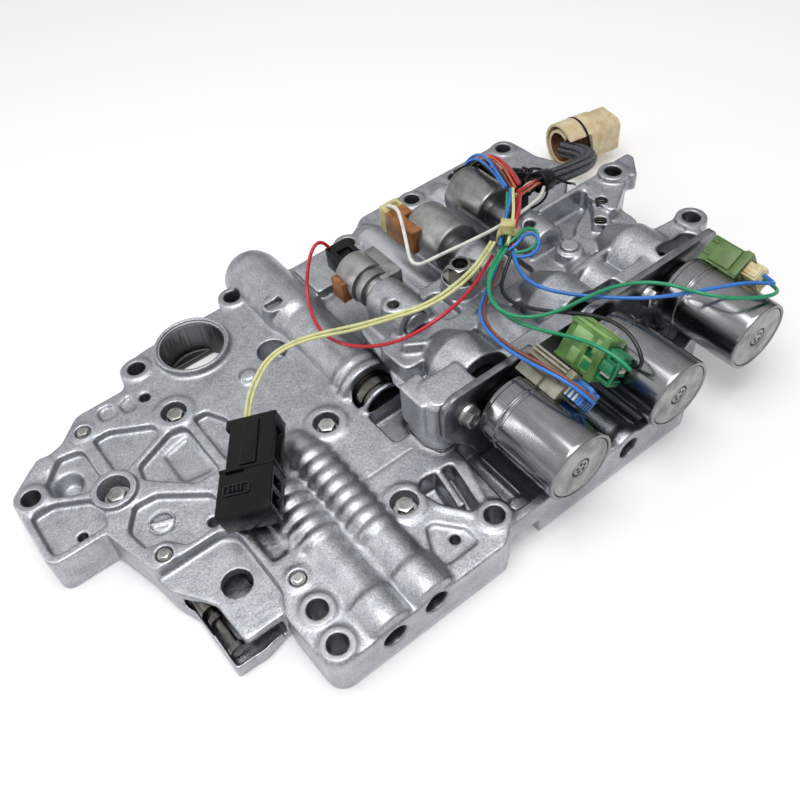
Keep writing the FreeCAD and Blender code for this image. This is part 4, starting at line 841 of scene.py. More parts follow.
# The helical ridge inside a tapped hole, from each point upwards.
def threadTree():
    tree, given = startTree("tappedThreads", {"Places": "Geometry", "Hole Radius": "Float", "Pitch": "Float",
                                              "Depth": "Float", "Ridge": "Float", "Metal": "Material"})
    turns = addNode(tree, "ShaderNodeMath", {"operation": "DIVIDE"}, {0: given["Depth"], 1: given["Pitch"]})
    helix = addNode(tree, "GeometryNodeCurveSpiral", {"Resolution": 24},
                    {"Rotations": turns, "Start Radius": given["Hole Radius"],
                     "End Radius": given["Hole Radius"], "Height": given["Depth"]})
    profile = addNode(tree, "GeometryNodeCurvePrimitiveCircle", {"Resolution": 4}, {"Radius": given["Ridge"]})
    ridge = addNode(tree, "GeometryNodeCurveToMesh", {},
                    {"Curve": helix, "Profile Curve": profile.outputs[0]})
    spread = addNode(tree, "GeometryNodeInstanceOnPoints", {}, {"Points": given["Places"], "Instance": ridge})
    return endTree(tree, spread, given["Metal"])


# A row of moulded ribs, as on a plug's comb or a housing's side.
def ribTree():
    tree, given = startTree("mouldedRibs",
                            {"Places": "Geometry", "Count": "Int", "Start": "Vector", "Step": "Vector",
                             "Rib Size": "Vector", "Turn": "Vector", "Plastic": "Material"})
    row = addNode(tree, "GeometryNodeMeshLine", {"mode": "OFFSET"},
                  {"Count": given["Count"], "Start Location": given["Start"], "Offset": given["Step"]})
    rib = addNode(tree, "GeometryNodeMeshCube", {}, {"Size": given["Rib Size"]})
    turn = addNode(tree, "FunctionNodeEulerToRotation", {}, {0: given["Turn"]})
    spread = addNode(tree, "GeometryNodeInstanceOnPoints", {},
                     {"Points": row, "Instance": rib, "Rotation": turn})
    return endTree(tree, spread, given["Plastic"])


boltNodes = boltTree()
threadNodes = threadTree()
ribNodes = ribTree()


# Runs a tree on points given in mm and returns the plain mesh.
def treeMesh(tree, places, values):
    mesh = bpy.data.meshes.new(tree.name)
    mesh.from_pydata([tuple(c * mm for c in place) for place in places], [], [])
    holder = linkPiece(tree.name, mesh)
    modifier = holder.modifiers.new(tree.name, "NODES")
    modifier.node_group = tree
    for socket in tree.interface.items_tree:
        if socket.in_out == "INPUT" and socket.name in values:
            modifier[socket.identifier] = values[socket.name]
    made = plainMesh(holder)
    bpy.data.objects.remove(holder)
    return made


# Sizes in mm, in the order of screwSizes.
screws = {
    "sunk": (7.0, 4.2, 4.6, 1.2, 2.4, 0.25, 3.0, 8.5),
    "flush": (4.6, 1.2, 3.1, 0.5, 1.5, 0.2, 3.0, 5.5),
    "ringed": (7.4, 3.6, 5.6, 1.4, 2.5, 0.3, 3.0, 8.5),
    "clamp": (8.0, 3.4, 5.4, 1.2, 2.6, 0.5, 2.5, 15.4),
    "flange": (10.0, 5.4, 8.4, 1.6, 3.7, 3.2, 3.0, 37.0),
}
# Each piece: its node, kind, places, aim, metal and the recess's metal.
boltPieces = {
    "sunkScrews": ("casting_bolts", "sunk", [(6.5, 140.5, 14.0), (55.8, 89.0, 14.0), (56.4, 33.0, 14.0)],
                   zAxis, "zincSteel", "dullSteel"),
    "flushScrews": ("casting_bolts", "flush",
                    [(-31.0, 158.0, 19.3), (-32.0, 76.5, 19.3), (3.6, 32.4, 19.3)],
                    zAxis, "zincSteel", "dullSteel"),
    "ringedScrew": ("casting_bolts", "ringed", [(-34.0, 118.0, 14.0)], zAxis, "zincSteel", "dullSteel"),
    "clampBolts": ("clamp_bolts", "clamp", [(95.5, 38.1, 41.0), (201.4, 38.1, 40.0)],
                   (0, -1, 0), "zincSteel", "dullSteel"),
    # The flange bolt's recess disc is painted shade.
    "flangeBolt": ("flange_bolt", "flange", [(142.0, 98.0, 49.0)], zAxis, "blackChrome", "paintedShadeRecess"),
}
for pieceName, (nodeName, kind, places, aim, metalName, recessName) in boltPieces.items():
    values = {label: value * mm for label, value in zip(screwSizes, screws[kind])}
    values.update({"Aim": aim, "Turn Seed": 7, "Metal": materials[metalName],
                   "Recess Finish": materials[recessName]})
    settle(linkPiece(pieceName, treeMesh(boltNodes, places, values)), [nodeName], None, 30)


# Thread sizes in mm, and where each hole's thread starts.
tapped = {
    "small": ({"Hole Radius": 2.55, "Pitch": 1.0, "Depth": 9.0, "Ridge": 0.36},
              [(105.5, 100.5, 43.2), (186.5, 100.0, 40.6)]),
    "large": ({"Hole Radius": 2.95, "Pitch": 1.25, "Depth": 9.0, "Ridge": 0.42},
              [(219.1, 85.1, 36.6), (228.8, 93.9, 36.6)]),
}


def tappedThreads():
    pairs = []
    for sizes, places in tapped.values():
        values = {label: value * mm for label, value in sizes.items()}
        values["Metal"] = materials["oiledSteel"]
        pairs.append((treeMesh(threadNodes, places, values), 0))
    piece = linkPiece("tappedThreads", joinMeshes("tappedThreads", pairs))
    settle(piece, ["upper_casting"], ["oiledSteel"], 180, takesPlace=False)


tappedThreads()
print("screws and threads set")


# Solenoids

# Profiles as (along y, radius, rounding) in mm. leans are in degrees.
linearSolenoid = {
    "places": [112.7, 168.8, 218.4], "height": 37.4, "leans": [60.0, -55.0, 60.0],
    "can": [(-7.4, 0, 0), (-7.4, 14.5, 0), (-9.3, 14.8, 0.4), (-9.5, 16.1, 1.0), (-8.2, 16.4, 0.6),
            (21.4, 16.4, 0.3), (21.6, 15.9, 0.2), (23.4, 15.9, 0.2), (23.6, 16.4, 0.3), (24.6, 16.4, 0.2),
            (24.8, 16.1, 0.1), (30.6, 16.1, 0.5), (31.0, 15.6, 0.3), (33.0, 15.6, 0.4), (33.0, 0, 0)],
    "cap": [(-9.0, 0, 0), (-9.0, 3.7, 0.1), (-8.6, 3.9, 0.1), (-8.6, 4.5, 0.1), (-9.1, 4.8, 0.2),
            (-9.1, 14.2, 0.2), (-8.6, 14.6, 0), (-7.5, 14.6, 0), (-7.5, 0, 0)],
    "groove": [(-8.64, 3.8, 0), (-8.8, 3.9, 0), (-8.8, 4.5, 0), (-8.64, 4.6, 0)],
    "pit": [(-9.08, 0, 0), (-9.08, 0.75, 0.1), (-8.8, 0.85, 0)],
    "pits": 5, "firstPit": 20, "pitCircle": 2.1,
}


def linearCans():
    look = linearSolenoid
    for i, x in enumerate(look["places"]):
        mesh = latheMesh(look["can"], placeOn((x, 0, look["height"]), yAxis, xAxis, zAxis), 128)
        settle(linkPiece("linearCan%d" % (i + 1), mesh), ["linear_can_%d" % (i + 1)], ["drawnSteel"])


# The rolled-in end disc, with a ring and five pits pressed in its middle, the ring's groove and the pits in
# painted shade.
def linearCaps():
    look = linearSolenoid
    pairs = []
    for x in look["places"]:
        place = placeOn((x, 0, look["height"]), yAxis, xAxis, zAxis)
        pairs += [(latheMesh(look["cap"], place, 96), 0), (latheMesh(look["groove"], place, 64), 1)]
        for turn in range(look["pits"]):
            angle = math.radians(look["firstPit"] + 360 / look["pits"] * turn)
            middle = (x + look["pitCircle"] * math.cos(angle), 0,
                      look["height"] + look["pitCircle"] * math.sin(angle))
            pairs.append((latheMesh(look["pit"], placeOn(middle, yAxis, xAxis, zAxis), 24), 1))
    piece = linkPiece("linearCaps", joinMeshes("linearCaps", pairs))
    settle(piece, ["linear_caps"], ["dullSteel", "paintedShadeRecess"])


linearCans()
linearCaps()
softened("linear_noses", "blackNylon", 0.3)


# World point of (across, along, out) on a piece that leans about a solenoid.
def leanedPlace(index):
    lean = math.radians(linearSolenoid["leans"][index])
    middle = (linearSolenoid["places"][index], 0, linearSolenoid["height"])
    return placeOn(middle, (math.cos(lean), 0, -math.sin(lean)), yAxis, (math.sin(lean), 0, math.cos(lean)))


# Ribs on a leaned piece: where the first one's middle is, the step to the
# next and the size, all as (across, along, out).
def ribRow(index, count, start, step, size):
    place = leanedPlace(index)
    lean = math.radians(linearSolenoid["leans"][index])
    values = {"Count": count, "Start": tuple(place(*start)), "Step": tuple(place(*step) - place(0, 0, 0)),
              "Rib Size": tuple(c * mm for c in size), "Turn": (0.0, lean, 0.0),
              "Plastic": materials["blueNylon"]}
    return treeMesh(ribNodes, [(0, 0, 0)], values)


# What a housing or plug has on top of its node: blocks as (low, high, round,
# material), and rib rows as (count, start, step, size, material).
mouldings = {
    "linear_housing_1": {"index": 0, "base": "greyCream", "edge": 0.5,
        "blocks": [((-9.9, 14.2, 13.4), (-8.6, 23.0, 19.4), 0.4, "paleGrey"),
            ((-9.7, 24.4, 13.4), (-8.6, 37.0, 17.8), 0.4, "paleGrey"),
            ((-9.4, 17.6, 20.4), (-8.7, 36.8, 21.6), 0.2, "blackNylon")],
        "ribs": [(2, (-9.5, 27.0, 19.4), (0, 0, 3.2), (1.4, 19.0, 1.2), "greyCream"),
            (2, (-9.7, 27.0, 24.8), (0, 0, 1.7), (1.2, 19.0, 0.9), "paleGrey")]},
    "linear_plug_1": {"index": 0, "base": "blueNylon", "edge": 0.35,
        "blocks": [((-6.6, 6.7, 18.3), (3.2, 7.3, 21.4), 0.1, "whiteNylon"),
            ((-7.8, 7.2, 22.4), (-6.9, 14.4, 24.6), 0.3, "blueNylon"),
            ((-4.6, 6.2, 23.4), (4.6, 7.6, 25.6), 0.5, "blueNylon"),
            ((-4.6, 6.2, 24.6), (-2.6, 14.8, 26.6), 0.5, "blueNylon"),
            ((2.6, 6.2, 24.6), (4.6, 14.8, 26.6), 0.5, "blueNylon")],
        "ribs": [(5, (-6.4, 6.7, 19.8), (2.5, 0, 0), (0.8, 1.2, 4.2), "blueNylon"),
            (3, (-7.5, 9.0, 19.6), (0, 2.2, 0), (0.8, 1.0, 3.4), "whiteNylon")]},
    "linear_housing_2": {"index": 1, "base": "leafGreen", "edge": 0.5,
        # The raised ribs on top and the side ribs take a lighter green as painted highlight.
        "blocks": [((-7.6, 18.0, 26.0), (-1.4, 24.4, 26.9), 0.3, "brightGreen"),
            ((-6.6, 19.0, 26.4), (-2.4, 23.4, 27.1), 0.2, "pineGreen"),
            ((1.0, 18.6, 26.0), (7.8, 22.0, 26.9), 0.3, "brightGreen"),
            ((-7.6, 26.4, 26.0), (-1.0, 31.0, 26.9), 0.3, "brightGreen"),
            ((2.0, 24.4, 26.0), (7.6, 33.4, 26.8), 0.3, "brightGreen")],
        "ribs": [(3, (9.4, 27.0, 16.6), (0, 0, 3.6), (1.4, 20.0, 1.5), "brightGreen")]},
    "linear_plug_2": {"index": 1, "base": "pineGreen", "edge": 0.35,
        "blocks": [((-6.8, 8.4, 23.4), (6.8, 9.6, 25.4), 0.4, "pineGreen"),
            ((-7.4, 8.6, 17.6), (-5.6, 15.6, 25.4), 0.4, "pineGreen"),
            ((5.4, 8.6, 17.6), (7.2, 15.6, 25.4), 0.4, "pineGreen"),
            ((-0.6, 8.2, 18.4), (3.4, 9.4, 22.8), 0.2, "whiteNylon"),
            ((-5.0, 8.7, 18.0), (4.8, 9.1, 23.2), 0.1, "blackNylon"),
            ((-4.0, 10.0, 24.2), (0.4, 14.6, 25.6), 0.2, "whiteNylon")],
        "ribs": [(4, (-4.6, 8.7, 20.6), (3.1, 0, 0), (0.7, 1.0, 5.4), "pineGreen")]},
    "linear_housing_3": {"index": 2, "base": "oliveGreen", "edge": 0.7,
        "blocks": [((-10.0, 17.6, 15.0), (-8.4, 29.0, 25.6), 0.5, "oliveGreen"),
            ((-9.6, 13.4, 18.0), (-8.4, 17.4, 26.6), 0.4, "oliveGreen")],
        "ribs": [(2, (-9.1, 31.0, 17.2), (0, 0, 6.4), (0.8, 3.4, 0.8), "oliveGreen")]},
    "linear_plug_3": {"index": 2, "base": "creamNylon", "edge": 0.6,
        "blocks": [((-7.9, 6.6, 18.6), (-6.6, 13.0, 24.2), 0.5, "creamNylon"),
            ((-8.1, 7.6, 20.0), (-7.4, 12.4, 20.8), 0.2, "agedCream"),
            ((-8.1, 7.6, 22.2), (-7.4, 12.4, 23.0), 0.2, "agedCream"),
            ((-6.0, 5.6, 19.0), (5.4, 6.6, 23.8), 0.4, "creamNylon")],
        "ribs": [(3, (-4.2, 5.5, 21.4), (3.6, 0, 0), (0.6, 0.5, 3.6), "agedCream")]},
}


for nodeName, look in mouldings.items():
    place = leanedPlace(look["index"])
    additions = [(blockMesh(*block, place), name) for *block, name in look["blocks"]]
    additions += [(ribRow(look["index"], *row), name) for *row, name in look["ribs"]]
    builtUp(nodeName + "Moulded", nodeName, look["edge"], 2, look["base"], additions)

shiftFinish = {
    "shift_can_1": ("dullSteel", 0.8), "shift_can_2": ("dullSteel", 1.2), "shift_can_3": ("wornSteel", 1.4),
    "shift_terminal_1": ("amberResin", 0.5), "shift_terminal_2": ("amberResin", 0.6),
    "shift_terminal_3": ("blackNylon", 0.5), "shift_connector_1": ("blackNylon", 0.4),
    "shift_connector_2": ("yellowNylon", 0.6), "shift_connector_3": ("blackNylon", 0.5),
}
for nodeName, (materialName, edge) in shiftFinish.items():
    softened(nodeName, materialName, edge, 3)
softened("shift_noses", "turnedAluminium", 0.3)
softened("shift_bracket", "sheetSteel", 0.4)
print("solenoids done")


# Wires. The points are in mm, the same as in the part's source.

wireRoutes = {
    "yellow": [(26.7, 104.3, 31.6), (32.4, 111.8, 33.4), (40.0, 117.6, 35.6), (50.6, 123.4, 37.4),
        (62.6, 123.4, 39.2), (74.4, 117.4, 41.6), (85.4, 105.8, 46.6), (98.6, 90.8, 55.8),
        (115.2, 81.8, 61.0), (133.0, 82.6, 62.8), (148.0, 88.0, 62.4), (158.4, 94.4, 61.2)],
    "red": [(107.2, 154.0, 50.9), (105.6, 155.0, 54.4), (101.4, 154.8, 56.2), (96.6, 153.2, 53.6),
        (91.6, 149.8, 48.0), (86.8, 145.2, 41.2), (82.0, 135.6, 37.0), (78.9, 122.8, 35.6),
        (80.6, 109.8, 37.2), (85.6, 97.0, 41.4), (92.2, 84.6, 48.8), (101.2, 76.4, 56.0),
        (113.6, 73.6, 60.6), (128.4, 76.6, 60.4), (142.6, 83.4, 59.4), (154.6, 90.4, 57.6)],
    "white": [(146.2, 158.6, 52.0), (144.8, 148.8, 58.0), (139.2, 137.4, 59.4), (131.4, 123.6, 58.6),
        (125.0, 112.6, 57.4), (127.2, 108.6, 56.8), (138.6, 108.4, 56.2), (153.4, 107.2, 55.6),
        (168.6, 105.8, 55.6), (184.0, 105.8, 55.9), (196.6, 109.0, 54.1), (207.8, 114.4, 50.2),
        (217.0, 122.0, 46.4)],
    "blue3": [(162.6, 85.6, 59.4), (158.6, 79.8, 58.6), (155.0, 69.8, 57.6), (157.0, 58.9, 57.2),
        (164.2, 48.0, 57.0), (173.7, 36.8, 57.2), (184.2, 26.2, 57.4), (196.8, 18.0, 57.6),
        (209.6, 10.8, 58.2), (220.6, 4.2, 58.8), (228.4, -1.8, 57.6), (233.0, -2.6, 54.8),
        (235.6, 5.4, 53.0)],
    "green3": [(159.2, 86.0, 62.0), (149.4, 81.4, 62.6), (139.4, 75.6, 62.2), (131.8, 66.4, 61.8),
        (131.4, 55.0, 61.4), (138.4, 46.8, 61.2), (149.6, 42.6, 61.0), (162.0, 41.0, 61.0),
        (174.6, 38.8, 61.0), (186.4, 33.0, 61.0), (194.6, 23.6, 61.0), (199.0, 12.6, 60.8),
        (205.6, 3.0, 60.2), (215.6, -3.4, 58.2), (226.6, -6.0, 54.6), (235.4, -3.6, 50.8),
        (237.6, 5.4, 49.0)],
    "green2": [(157.6, 88.2, 60.6), (147.6, 83.2, 60.0), (138.8, 76.0, 59.2), (133.8, 65.4, 58.0),
        (134.2, 53.0, 57.2), (138.4, 40.8, 58.2), (142.8, 29.2, 60.6), (145.6, 17.8, 62.4),
        (147.4, 7.0, 61.6), (149.0, 0.4, 57.4), (151.4, 8.4, 54.4)],
    "black2": [(160.4, 84.6, 57.6), (152.6, 80.6, 53.8), (146.4, 75.6, 52.4), (144.2, 67.0, 52.4),
        (146.6, 56.6, 54.2), (151.0, 45.0, 57.6), (156.0, 33.4, 61.6), (159.0, 21.8, 64.2),
        (158.4, 10.8, 63.8), (155.6, 2.4, 60.0), (153.6, 1.4, 55.6), (154.2, 8.4, 52.0)],
    "pair1": [(156.6, 86.4, 56.6), (147.2, 80.4, 55.6), (136.6, 74.4, 55.4), (126.8, 66.4, 56.6),
        (121.8, 55.4, 58.6), (120.4, 43.4, 60.0), (121.0, 31.6, 61.0), (123.4, 20.0, 61.0),
        (126.6, 9.0, 58.6), (129.6, 0.4, 54.0), (130.9, 5.8, 50.8)],
    "branch": [(190.8, 117.2, 62.4), (194.8, 126.8, 62.6), (198.8, 137.6, 61.4), (201.8, 148.4, 58.2),
        (202.4, 156.4, 53.4), (201.2, 159.8, 48.5)],
    "feeder": [(191.3, 114.0, 60.1), (198.6, 117.0, 57.8), (205.8, 120.6, 54.4), (212.8, 125.0, 49.6),
        (219.7, 129.4, 44.2)],
    "trunk": [(160.6, 88.0, 60.0), (165.8, 92.6, 60.8), (171.2, 97.2, 61.4), (177.0, 102.0, 61.8),
        (183.6, 108.2, 61.6), (189.6, 114.6, 60.8)],
    "sleeve": [(277.4, 168.0, 18.6), (278.6, 159.8, 20.0), (278.0, 151.4, 22.6), (272.6, 143.2, 26.2),
        (263.0, 137.6, 30.0), (251.4, 134.4, 34.2), (239.6, 132.0, 38.0), (229.0, 130.9, 41.0)],
    "blueLoop": [(160.0, 86.0, 60.4), (163.6, 84.6, 62.4), (170.4, 86.4, 64.0), (175.4, 83.6, 62.8),
        (172.6, 78.6, 60.2), (165.2, 77.6, 58.6), (160.2, 82.6, 58.8)],
    "greenLoop": [(160.8, 88.6, 61.0), (166.2, 87.2, 63.8), (173.2, 88.8, 64.6), (177.0, 85.0, 63.0),
        (173.4, 80.6, 60.8), (166.0, 80.8, 59.0), (161.2, 85.0, 59.2)],
}
wireLook = {
    "radius": 0.86, "pairRadius": 0.8, "sleeveRadius": 5.0, "sleeveFlat": 0.86, "braidStrands": 22,
    "braidPitchMm": 30.0, "sleeveCords": 16, "sleeveInset": 0.4, "coreInset": 0.3, "weave": 0.16,
    "braidRadius": 0.36, "cordRadius": 0.62, "driftMm": 9.0,
}


def routeCurve(name, points, radiusMm):
    data = bpy.data.curves.new(name, "CURVE")
    data.dimensions = "3D"
    data.resolution_u = 10
    data.bevel_depth = radiusMm * mm
    data.bevel_resolution = 4
    data.use_fill_caps = True
    spline = data.splines.new("NURBS")
    spline.points.add(len(points) - 1)
    for i, (x, y, z) in enumerate(points):
        spline.points[i].co = (x * mm, y * mm, z * mm, 1)
    spline.order_u = 3
    spline.use_endpoint_u = True
    return linkPiece(name, data)


# The smooth line of a route, read from its spline without any thickness.
def smoothLine(points):
    guide = routeCurve("guide", points, 0.0)
    depsgraph = bpy.context.evaluated_depsgraph_get()
    mesh = bpy.data.meshes.new_from_object(guide.evaluated_get(depsgraph))
    line = [v.co.copy() for v in mesh.vertices]
    bpy.data.objects.remove(guide)
    bpy.data.meshes.remove(mesh)
    return line


def lineLength(line):
    return sum((b - a).length for a, b in zip(line, line[1:]))


# Points at even spacing along a line, each with a frame that doesn't twist.
def walkLine(line, stepMm):
    total = lineLength(line)
    count = max(8, int(total / (stepMm * mm)))
    spots = []
    travelled, index = 0.0, 0
    for k in range(count + 1):
        target = total * k / count
        while index < len(line) - 2 and travelled + (line[index + 1] - line[index]).length < target:
            travelled += (line[index + 1] - line[index]).length
            index += 1
        part = (line[index + 1] - line[index]).length
        spots.append(line[index].lerp(line[index + 1], min(1.0, (target - travelled) / part)))
    frames = []
    side = None
    for k, spot in enumerate(spots):
        along = (spots[min(k + 1, count)] - spots[max(k - 1, 0)]).normalized()
        if side is None:
            side = along.cross(Vector((0, 0, 1))).normalized()
        side = (side - along * side.dot(along)).normalized()
        frames.append((spot, side, along.cross(side), k / count * total))
    return frames


# A thin round strand beside a line. offset(distance) gives (across, up) in mm.
def strandMesh(frames, radiusMm, offset, sides=8):
    centres = []
    for spot, side, up, distance in frames:
        across, high = offset(distance / mm)
        centres.append(spot + side * (across * mm) + up * (high * mm))
    rings = []
    angles = [2 * math.pi * j / sides for j in range(sides)]
    for k, centre in enumerate(centres):
        along = (centres[min(k + 1, len(centres) - 1)] - centres[max(k - 1, 0)]).normalized()
        side = (frames[k][1] - along * frames[k][1].dot(along)).normalized()
        up = along.cross(side)
        rings.append([centre + (side * math.cos(a) + up * math.sin(a)) * (radiusMm * mm) for a in angles])
    return skinRings("strand", rings, True)


def straight(distance):
    return (0, 0)


def singleWire(pieceName, nodeName, routeName, colorName):
    points = wireRoutes[routeName]
    wire = routeCurve(pieceName, points, wireLook["radius"])
    wire.data.materials.append(materials[colorName])
    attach(wire, nodeBody[nodeName])
    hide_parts(nodeName)
    lineLength(smoothLine(points))


# Several strands in one piece, each as (colour, across, up, drift).
def strandBundle(pieceName, nodeName, routeName, strands, radiusMm, loops=()):
    points = wireRoutes[routeName]
    line = smoothLine(points)
    frames = walkLine(line, 1.2)
    pairs = []
    for number, (_, across, high, drift) in enumerate(strands):
        def offset(distance, across=across, high=high, drift=drift):
            turn = drift * math.sin(distance / wireLook["driftMm"] + across)
            return (across * math.cos(turn) - high * math.sin(turn),
                    across * math.sin(turn) + high * math.cos(turn))
        pairs.append((strandMesh(frames, radiusMm, offset), number))
    for number, (_, loopName) in enumerate(loops):
        loopFrames = walkLine(smoothLine(wireRoutes[loopName]), 0.9)
        pairs.append((strandMesh(loopFrames, radiusMm, straight), len(strands) + number))
    piece = linkPiece(pieceName, joinMeshes(pieceName, pairs))
    settle(piece, [nodeName], [strand[0] for strand in strands] + [loop[0] for loop in loops], 60)


# Two layers of strands wound in opposite senses over a dark core, pressed a
# little flat, with cords laid lengthwise between them, alternately black and
# pale as painted shade and painted highlight of the ribbing.
def braidedSleeve():
    look = wireLook
    points = wireRoutes["sleeve"]
    line = smoothLine(points)
    frames = walkLine(line, 0.8)
    count = look["braidStrands"]
    outer = look["sleeveRadius"] - look["sleeveInset"]
    pairs = [(strandMesh(frames, outer * look["sleeveFlat"] - look["coreInset"], straight, 20), 0)]
    for sense in (1, -1):
        for k in range(count):
            start = 2 * math.pi * k / count

            def offset(distance, sense=sense, start=start):
                angle = start + sense * 2 * math.pi * distance / look["braidPitchMm"]
                weave = look["weave"] * math.sin(angle * sense * count / 2 + (0 if sense > 0 else math.pi))
                return ((outer + weave) * math.cos(angle),
                        (outer + weave) * look["sleeveFlat"] * math.sin(angle))
            pairs.append((strandMesh(frames, look["braidRadius"], offset, 5), 1))
    # The cords alternate black and pale: painted shade and painted highlight of the lengthwise ribbing.
    for k in range(look["sleeveCords"]):
        angle = 2 * math.pi * k / look["sleeveCords"]
        ridge = (outer * math.cos(angle), outer * look["sleeveFlat"] * math.sin(angle))
        pairs.append((strandMesh(frames, look["cordRadius"], lambda distance, ridge=ridge: ridge, 6), k % 2))
    piece = linkPiece("braidedSleeve", joinMeshes("braidedSleeve", pairs))
    settle(piece, ["braided_sleeve"], ["blackTape", "braidNylon"], 60)


thin = wireLook["pairRadius"]
singleWire("redWire", "red_wire", "red", "red")
singleWire("whiteWire", "white_wire", "white", "white")
singleWire("blueWireThree", "blue_wire_3", "blue3", "blue")
singleWire("greenWireThree", "green_wire_3", "green3", "green")
singleWire("greenWireTwo", "green_wire_2", "green2", "green")
singleWire("blackWireTwo", "black_wire_2", "black2", "black")
strandBundle("yellowPair", "yellow_wires", "yellow",
             [("yellow", 0.9, 0.1, 0.5), ("yellow", -0.9, -0.1, 0.5)], thin)
strandBundle("bluePair", "pair_wires_1", "pair1", [("blue", 0.9, 0.1, 0.5), ("brown", -0.9, -0.1, 0.5)],
             thin)
strandBundle("feederWires", "feeder_wires", "feeder",
             [("orange", 1.2, 0.9, 0.6), ("yellow", -1.3, 0.6, 0.5), ("red", 0.0, -1.0, 0.5)], thin)
strandBundle("branchWires", "branch_wires", "branch",
             [("blue", -3.6, 0.1, 0.25), ("blue", -2.6, -1.6, 0.3), ("black", -1.2, 0.9, 0.3),
              ("brown", 0.6, 1.3, 0.3), ("orange", 1.9, 0.4, 0.3), ("red", 3.1, -0.8, 0.25),
              ("brown", 4.2, -0.2, 0.2)], 0.72)
strandBundle("trunkWires", "wire_trunk", "trunk",
             [("green", -2.9, 0.6, 0.3), ("green", -1.9, 2.1, 0.3), ("black", -0.3, 2.8, 0.3),
              ("red", 1.2, 2.5, 0.3), ("brown", 2.5, 1.4, 0.3), ("red", 2.9, -0.6, 0.3),
              ("blue", -2.2, -1.9, 0.3), ("yellow", 0.4, -2.7, 0.3)], thin,
             [("blue", "blueLoop"), ("green", "greenLoop")])
braidedSleeve()
print("wires laid")


# Plates, plugs and small pieces

def sheetPieces():
    for nodeName, edge in (("clamp_plate_left", 0.45), ("clamp_plate_right", 0.45), ("retainer_keys", 0.3)):
        softened(nodeName, "sheetSteel", edge)
    plate = linkPiece("separatorPlate", mergedMesh("separator_plate", 0.0))
    settle(plate, ["separator_plate"], ["sheetSteel"])


sheetPieces()
softened("bore_plugs", "turnedAluminium", 0.3)

# One block, raised lines round the label, fine ribs in it, and the latch.
twoWay = {
    "place": (0.7, 60.8, 30.6), "turn": -35.8, "roll": -14.0,
    "blocks": [((-12.3, 21.4, -6.7), (12.3, 23.0, 6.3), 0.4, "blackNylon"),
               *[((-8.6, y, 5.7), (2.0, y + 0.7, 6.7), 0.3, "slateNylon") for y in (9.0, 13.6)],
               *[((x, 9.6, 5.7), (x + 0.9, 13.8, 6.7), 0.3, "slateNylon") for x in (-9.3, 1.8)],
               *[((x, 10.4, 5.7), (x + 0.8, 13.0, 7.0), 0.2, "slateNylon")
                 for x in (-6.8, -5.0, -3.2, -1.4)],
               ((-3.6, 24.0, 4.8), (3.8, 47.0, 6.0), 0.5, "blackNylon")],
}


def twoWayPlug():
    roll, turn = math.radians(twoWay["roll"]), math.radians(twoWay["turn"])
    across = (math.cos(roll) * math.cos(turn), math.cos(roll) * math.sin(turn), -math.sin(roll))
    up = (math.sin(roll) * math.cos(turn), math.sin(roll) * math.sin(turn), math.cos(roll))
    place = placeOn(twoWay["place"], across, (-math.sin(turn), math.cos(turn), 0), up)
    additions = [(blockMesh(*block, place), name) for *block, name in twoWay["blocks"]]
    builtUp("twoWayPlug", "two_way_connector", 0.4, 2, "blackNylon", additions)


twoWayPlug()

caseEnd = {"place": (278.3, 171.6, 17.0), "turn": -99.7, "boreRadius": 9.0, "rim": 0.6, "depth": 20}


# The bore of the case connector is stained brown, its outside only yellowed.
def caseConnector():
    piece = brokenEdges("case_connector", 0.5, 3)
    turn = math.radians(-caseEnd["turn"])
    for polygon in piece.data.polygons:
        away = polygon.center / mm - Vector(caseEnd["place"])
        across = away.x * math.cos(turn) - away.y * math.sin(turn)
        depth = away.x * math.sin(turn) + away.y * math.cos(turn)
        inBore = math.hypot(across, away.z) < caseEnd["boreRadius"]
        polygon.material_index = int(inBore and caseEnd["rim"] < depth < caseEnd["depth"])
    settle(piece, ["case_connector"], ["agedCream", "rustyBrown"])


caseConnector()
softened("case_seal", "blackRubber", 0.3)
softened("case_insert", "rustyBrown", 0.2)
softened("cable_tie", "yellowNylon", 0.4)

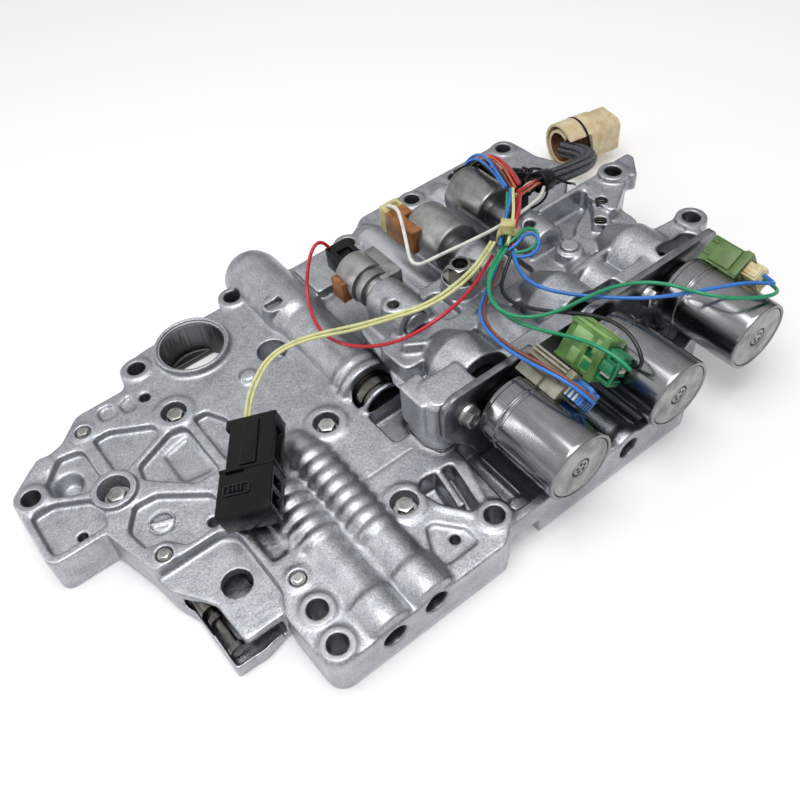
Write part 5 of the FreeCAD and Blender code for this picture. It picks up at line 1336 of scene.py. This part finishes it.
# Routes in mm.
tapeTails = [[(226.0, 129.0, 44.0), (221.0, 126.6, 48.4), (214.6, 127.4, 47.0), (210.8, 132.4, 42.6)],
             [(227.6, 133.0, 45.6), (223.2, 137.4, 47.6), (216.6, 139.6, 44.6), (210.6, 137.0, 40.6)],
             [(225.0, 126.4, 40.0), (220.4, 121.4, 42.6), (214.0, 119.6, 40.8), (208.6, 122.2, 37.4)],
             [(229.4, 126.6, 44.2), (231.0, 120.8, 43.4), (236.2, 119.4, 39.8), (240.4, 122.6, 35.8)],
             [(224.2, 131.6, 45.0), (218.2, 133.0, 49.0), (212.0, 131.4, 48.0), (208.4, 127.0, 44.2)]]
tapeTangle = {"curls": 26, "middle": (216.0, 136.0, 44.0), "spread": (8.0, 6.0, 2.6),
              "reach": (5.0, 4.4, 2.6), "radius": 0.8, "tailRadius": 0.7, "tailSway": 0.5}


# Tape wound round the mouth of the sleeve, with loose ends that curl away and
# lie in a tangle beside it.
def tapeJoint():
    look = tapeTangle
    additions = []
    for tail in tapeTails:
        frames = walkLine(smoothLine(tail), 0.9)
        sway = strandMesh(frames, look["tailRadius"],
                          lambda distance: (look["tailSway"] * math.sin(distance / 3.0), 0), 6)
        additions.append((sway, "blackTape"))
    chance = np.random.default_rng(5)
    for _ in range(look["curls"]):
        middle = np.array(look["middle"]) + chance.uniform(-1, 1, 3) * look["spread"]
        curl = [tuple(middle + chance.uniform(-1, 1, 3) * look["reach"]) for _ in range(5)]
        frames = walkLine(smoothLine(curl), 1.0)
        additions.append((strandMesh(frames, look["radius"], straight, 6), "blackTape"))
    builtUp("tapeJoint", "tape_joint", 0.8, 3, "blackTape", additions)


tapeJoint()

# Springs: the end that stands still and the body that presses the other end.
springs = {
    "spool_spring_1": ("low", "valve_1"), "spool_spring_2": ("low", "valve_2"),
    "spool_spring_3": ("low", "valve_3"), "accumulator_spring": ("high", "piston"),
}


def springPieces():
    for nodeName, (stillEnd, pusher) in springs.items():
        piece = settle(linkPiece(nodeName + "Wound", mergedMesh(nodeName, 0.0)), [nodeName], ["sheetSteel"],
                       rides=False)
        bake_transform(piece)


springPieces()
plainNodes = {
    "accumulator_piston": "oiledSteel", "accumulator_cover": "turnedAluminium",
    "manual_valve": "oiledSteel", "spool_valve_1": "turnedAluminium", "spool_valve_2": "turnedAluminium",
    "spool_valve_3": "turnedAluminium",
}
for nodeName, materialName in plainNodes.items():
    for slot in frame["nodes"][nodeName].material_slots:
        slot.material = materials[materialName]
print("small pieces done")
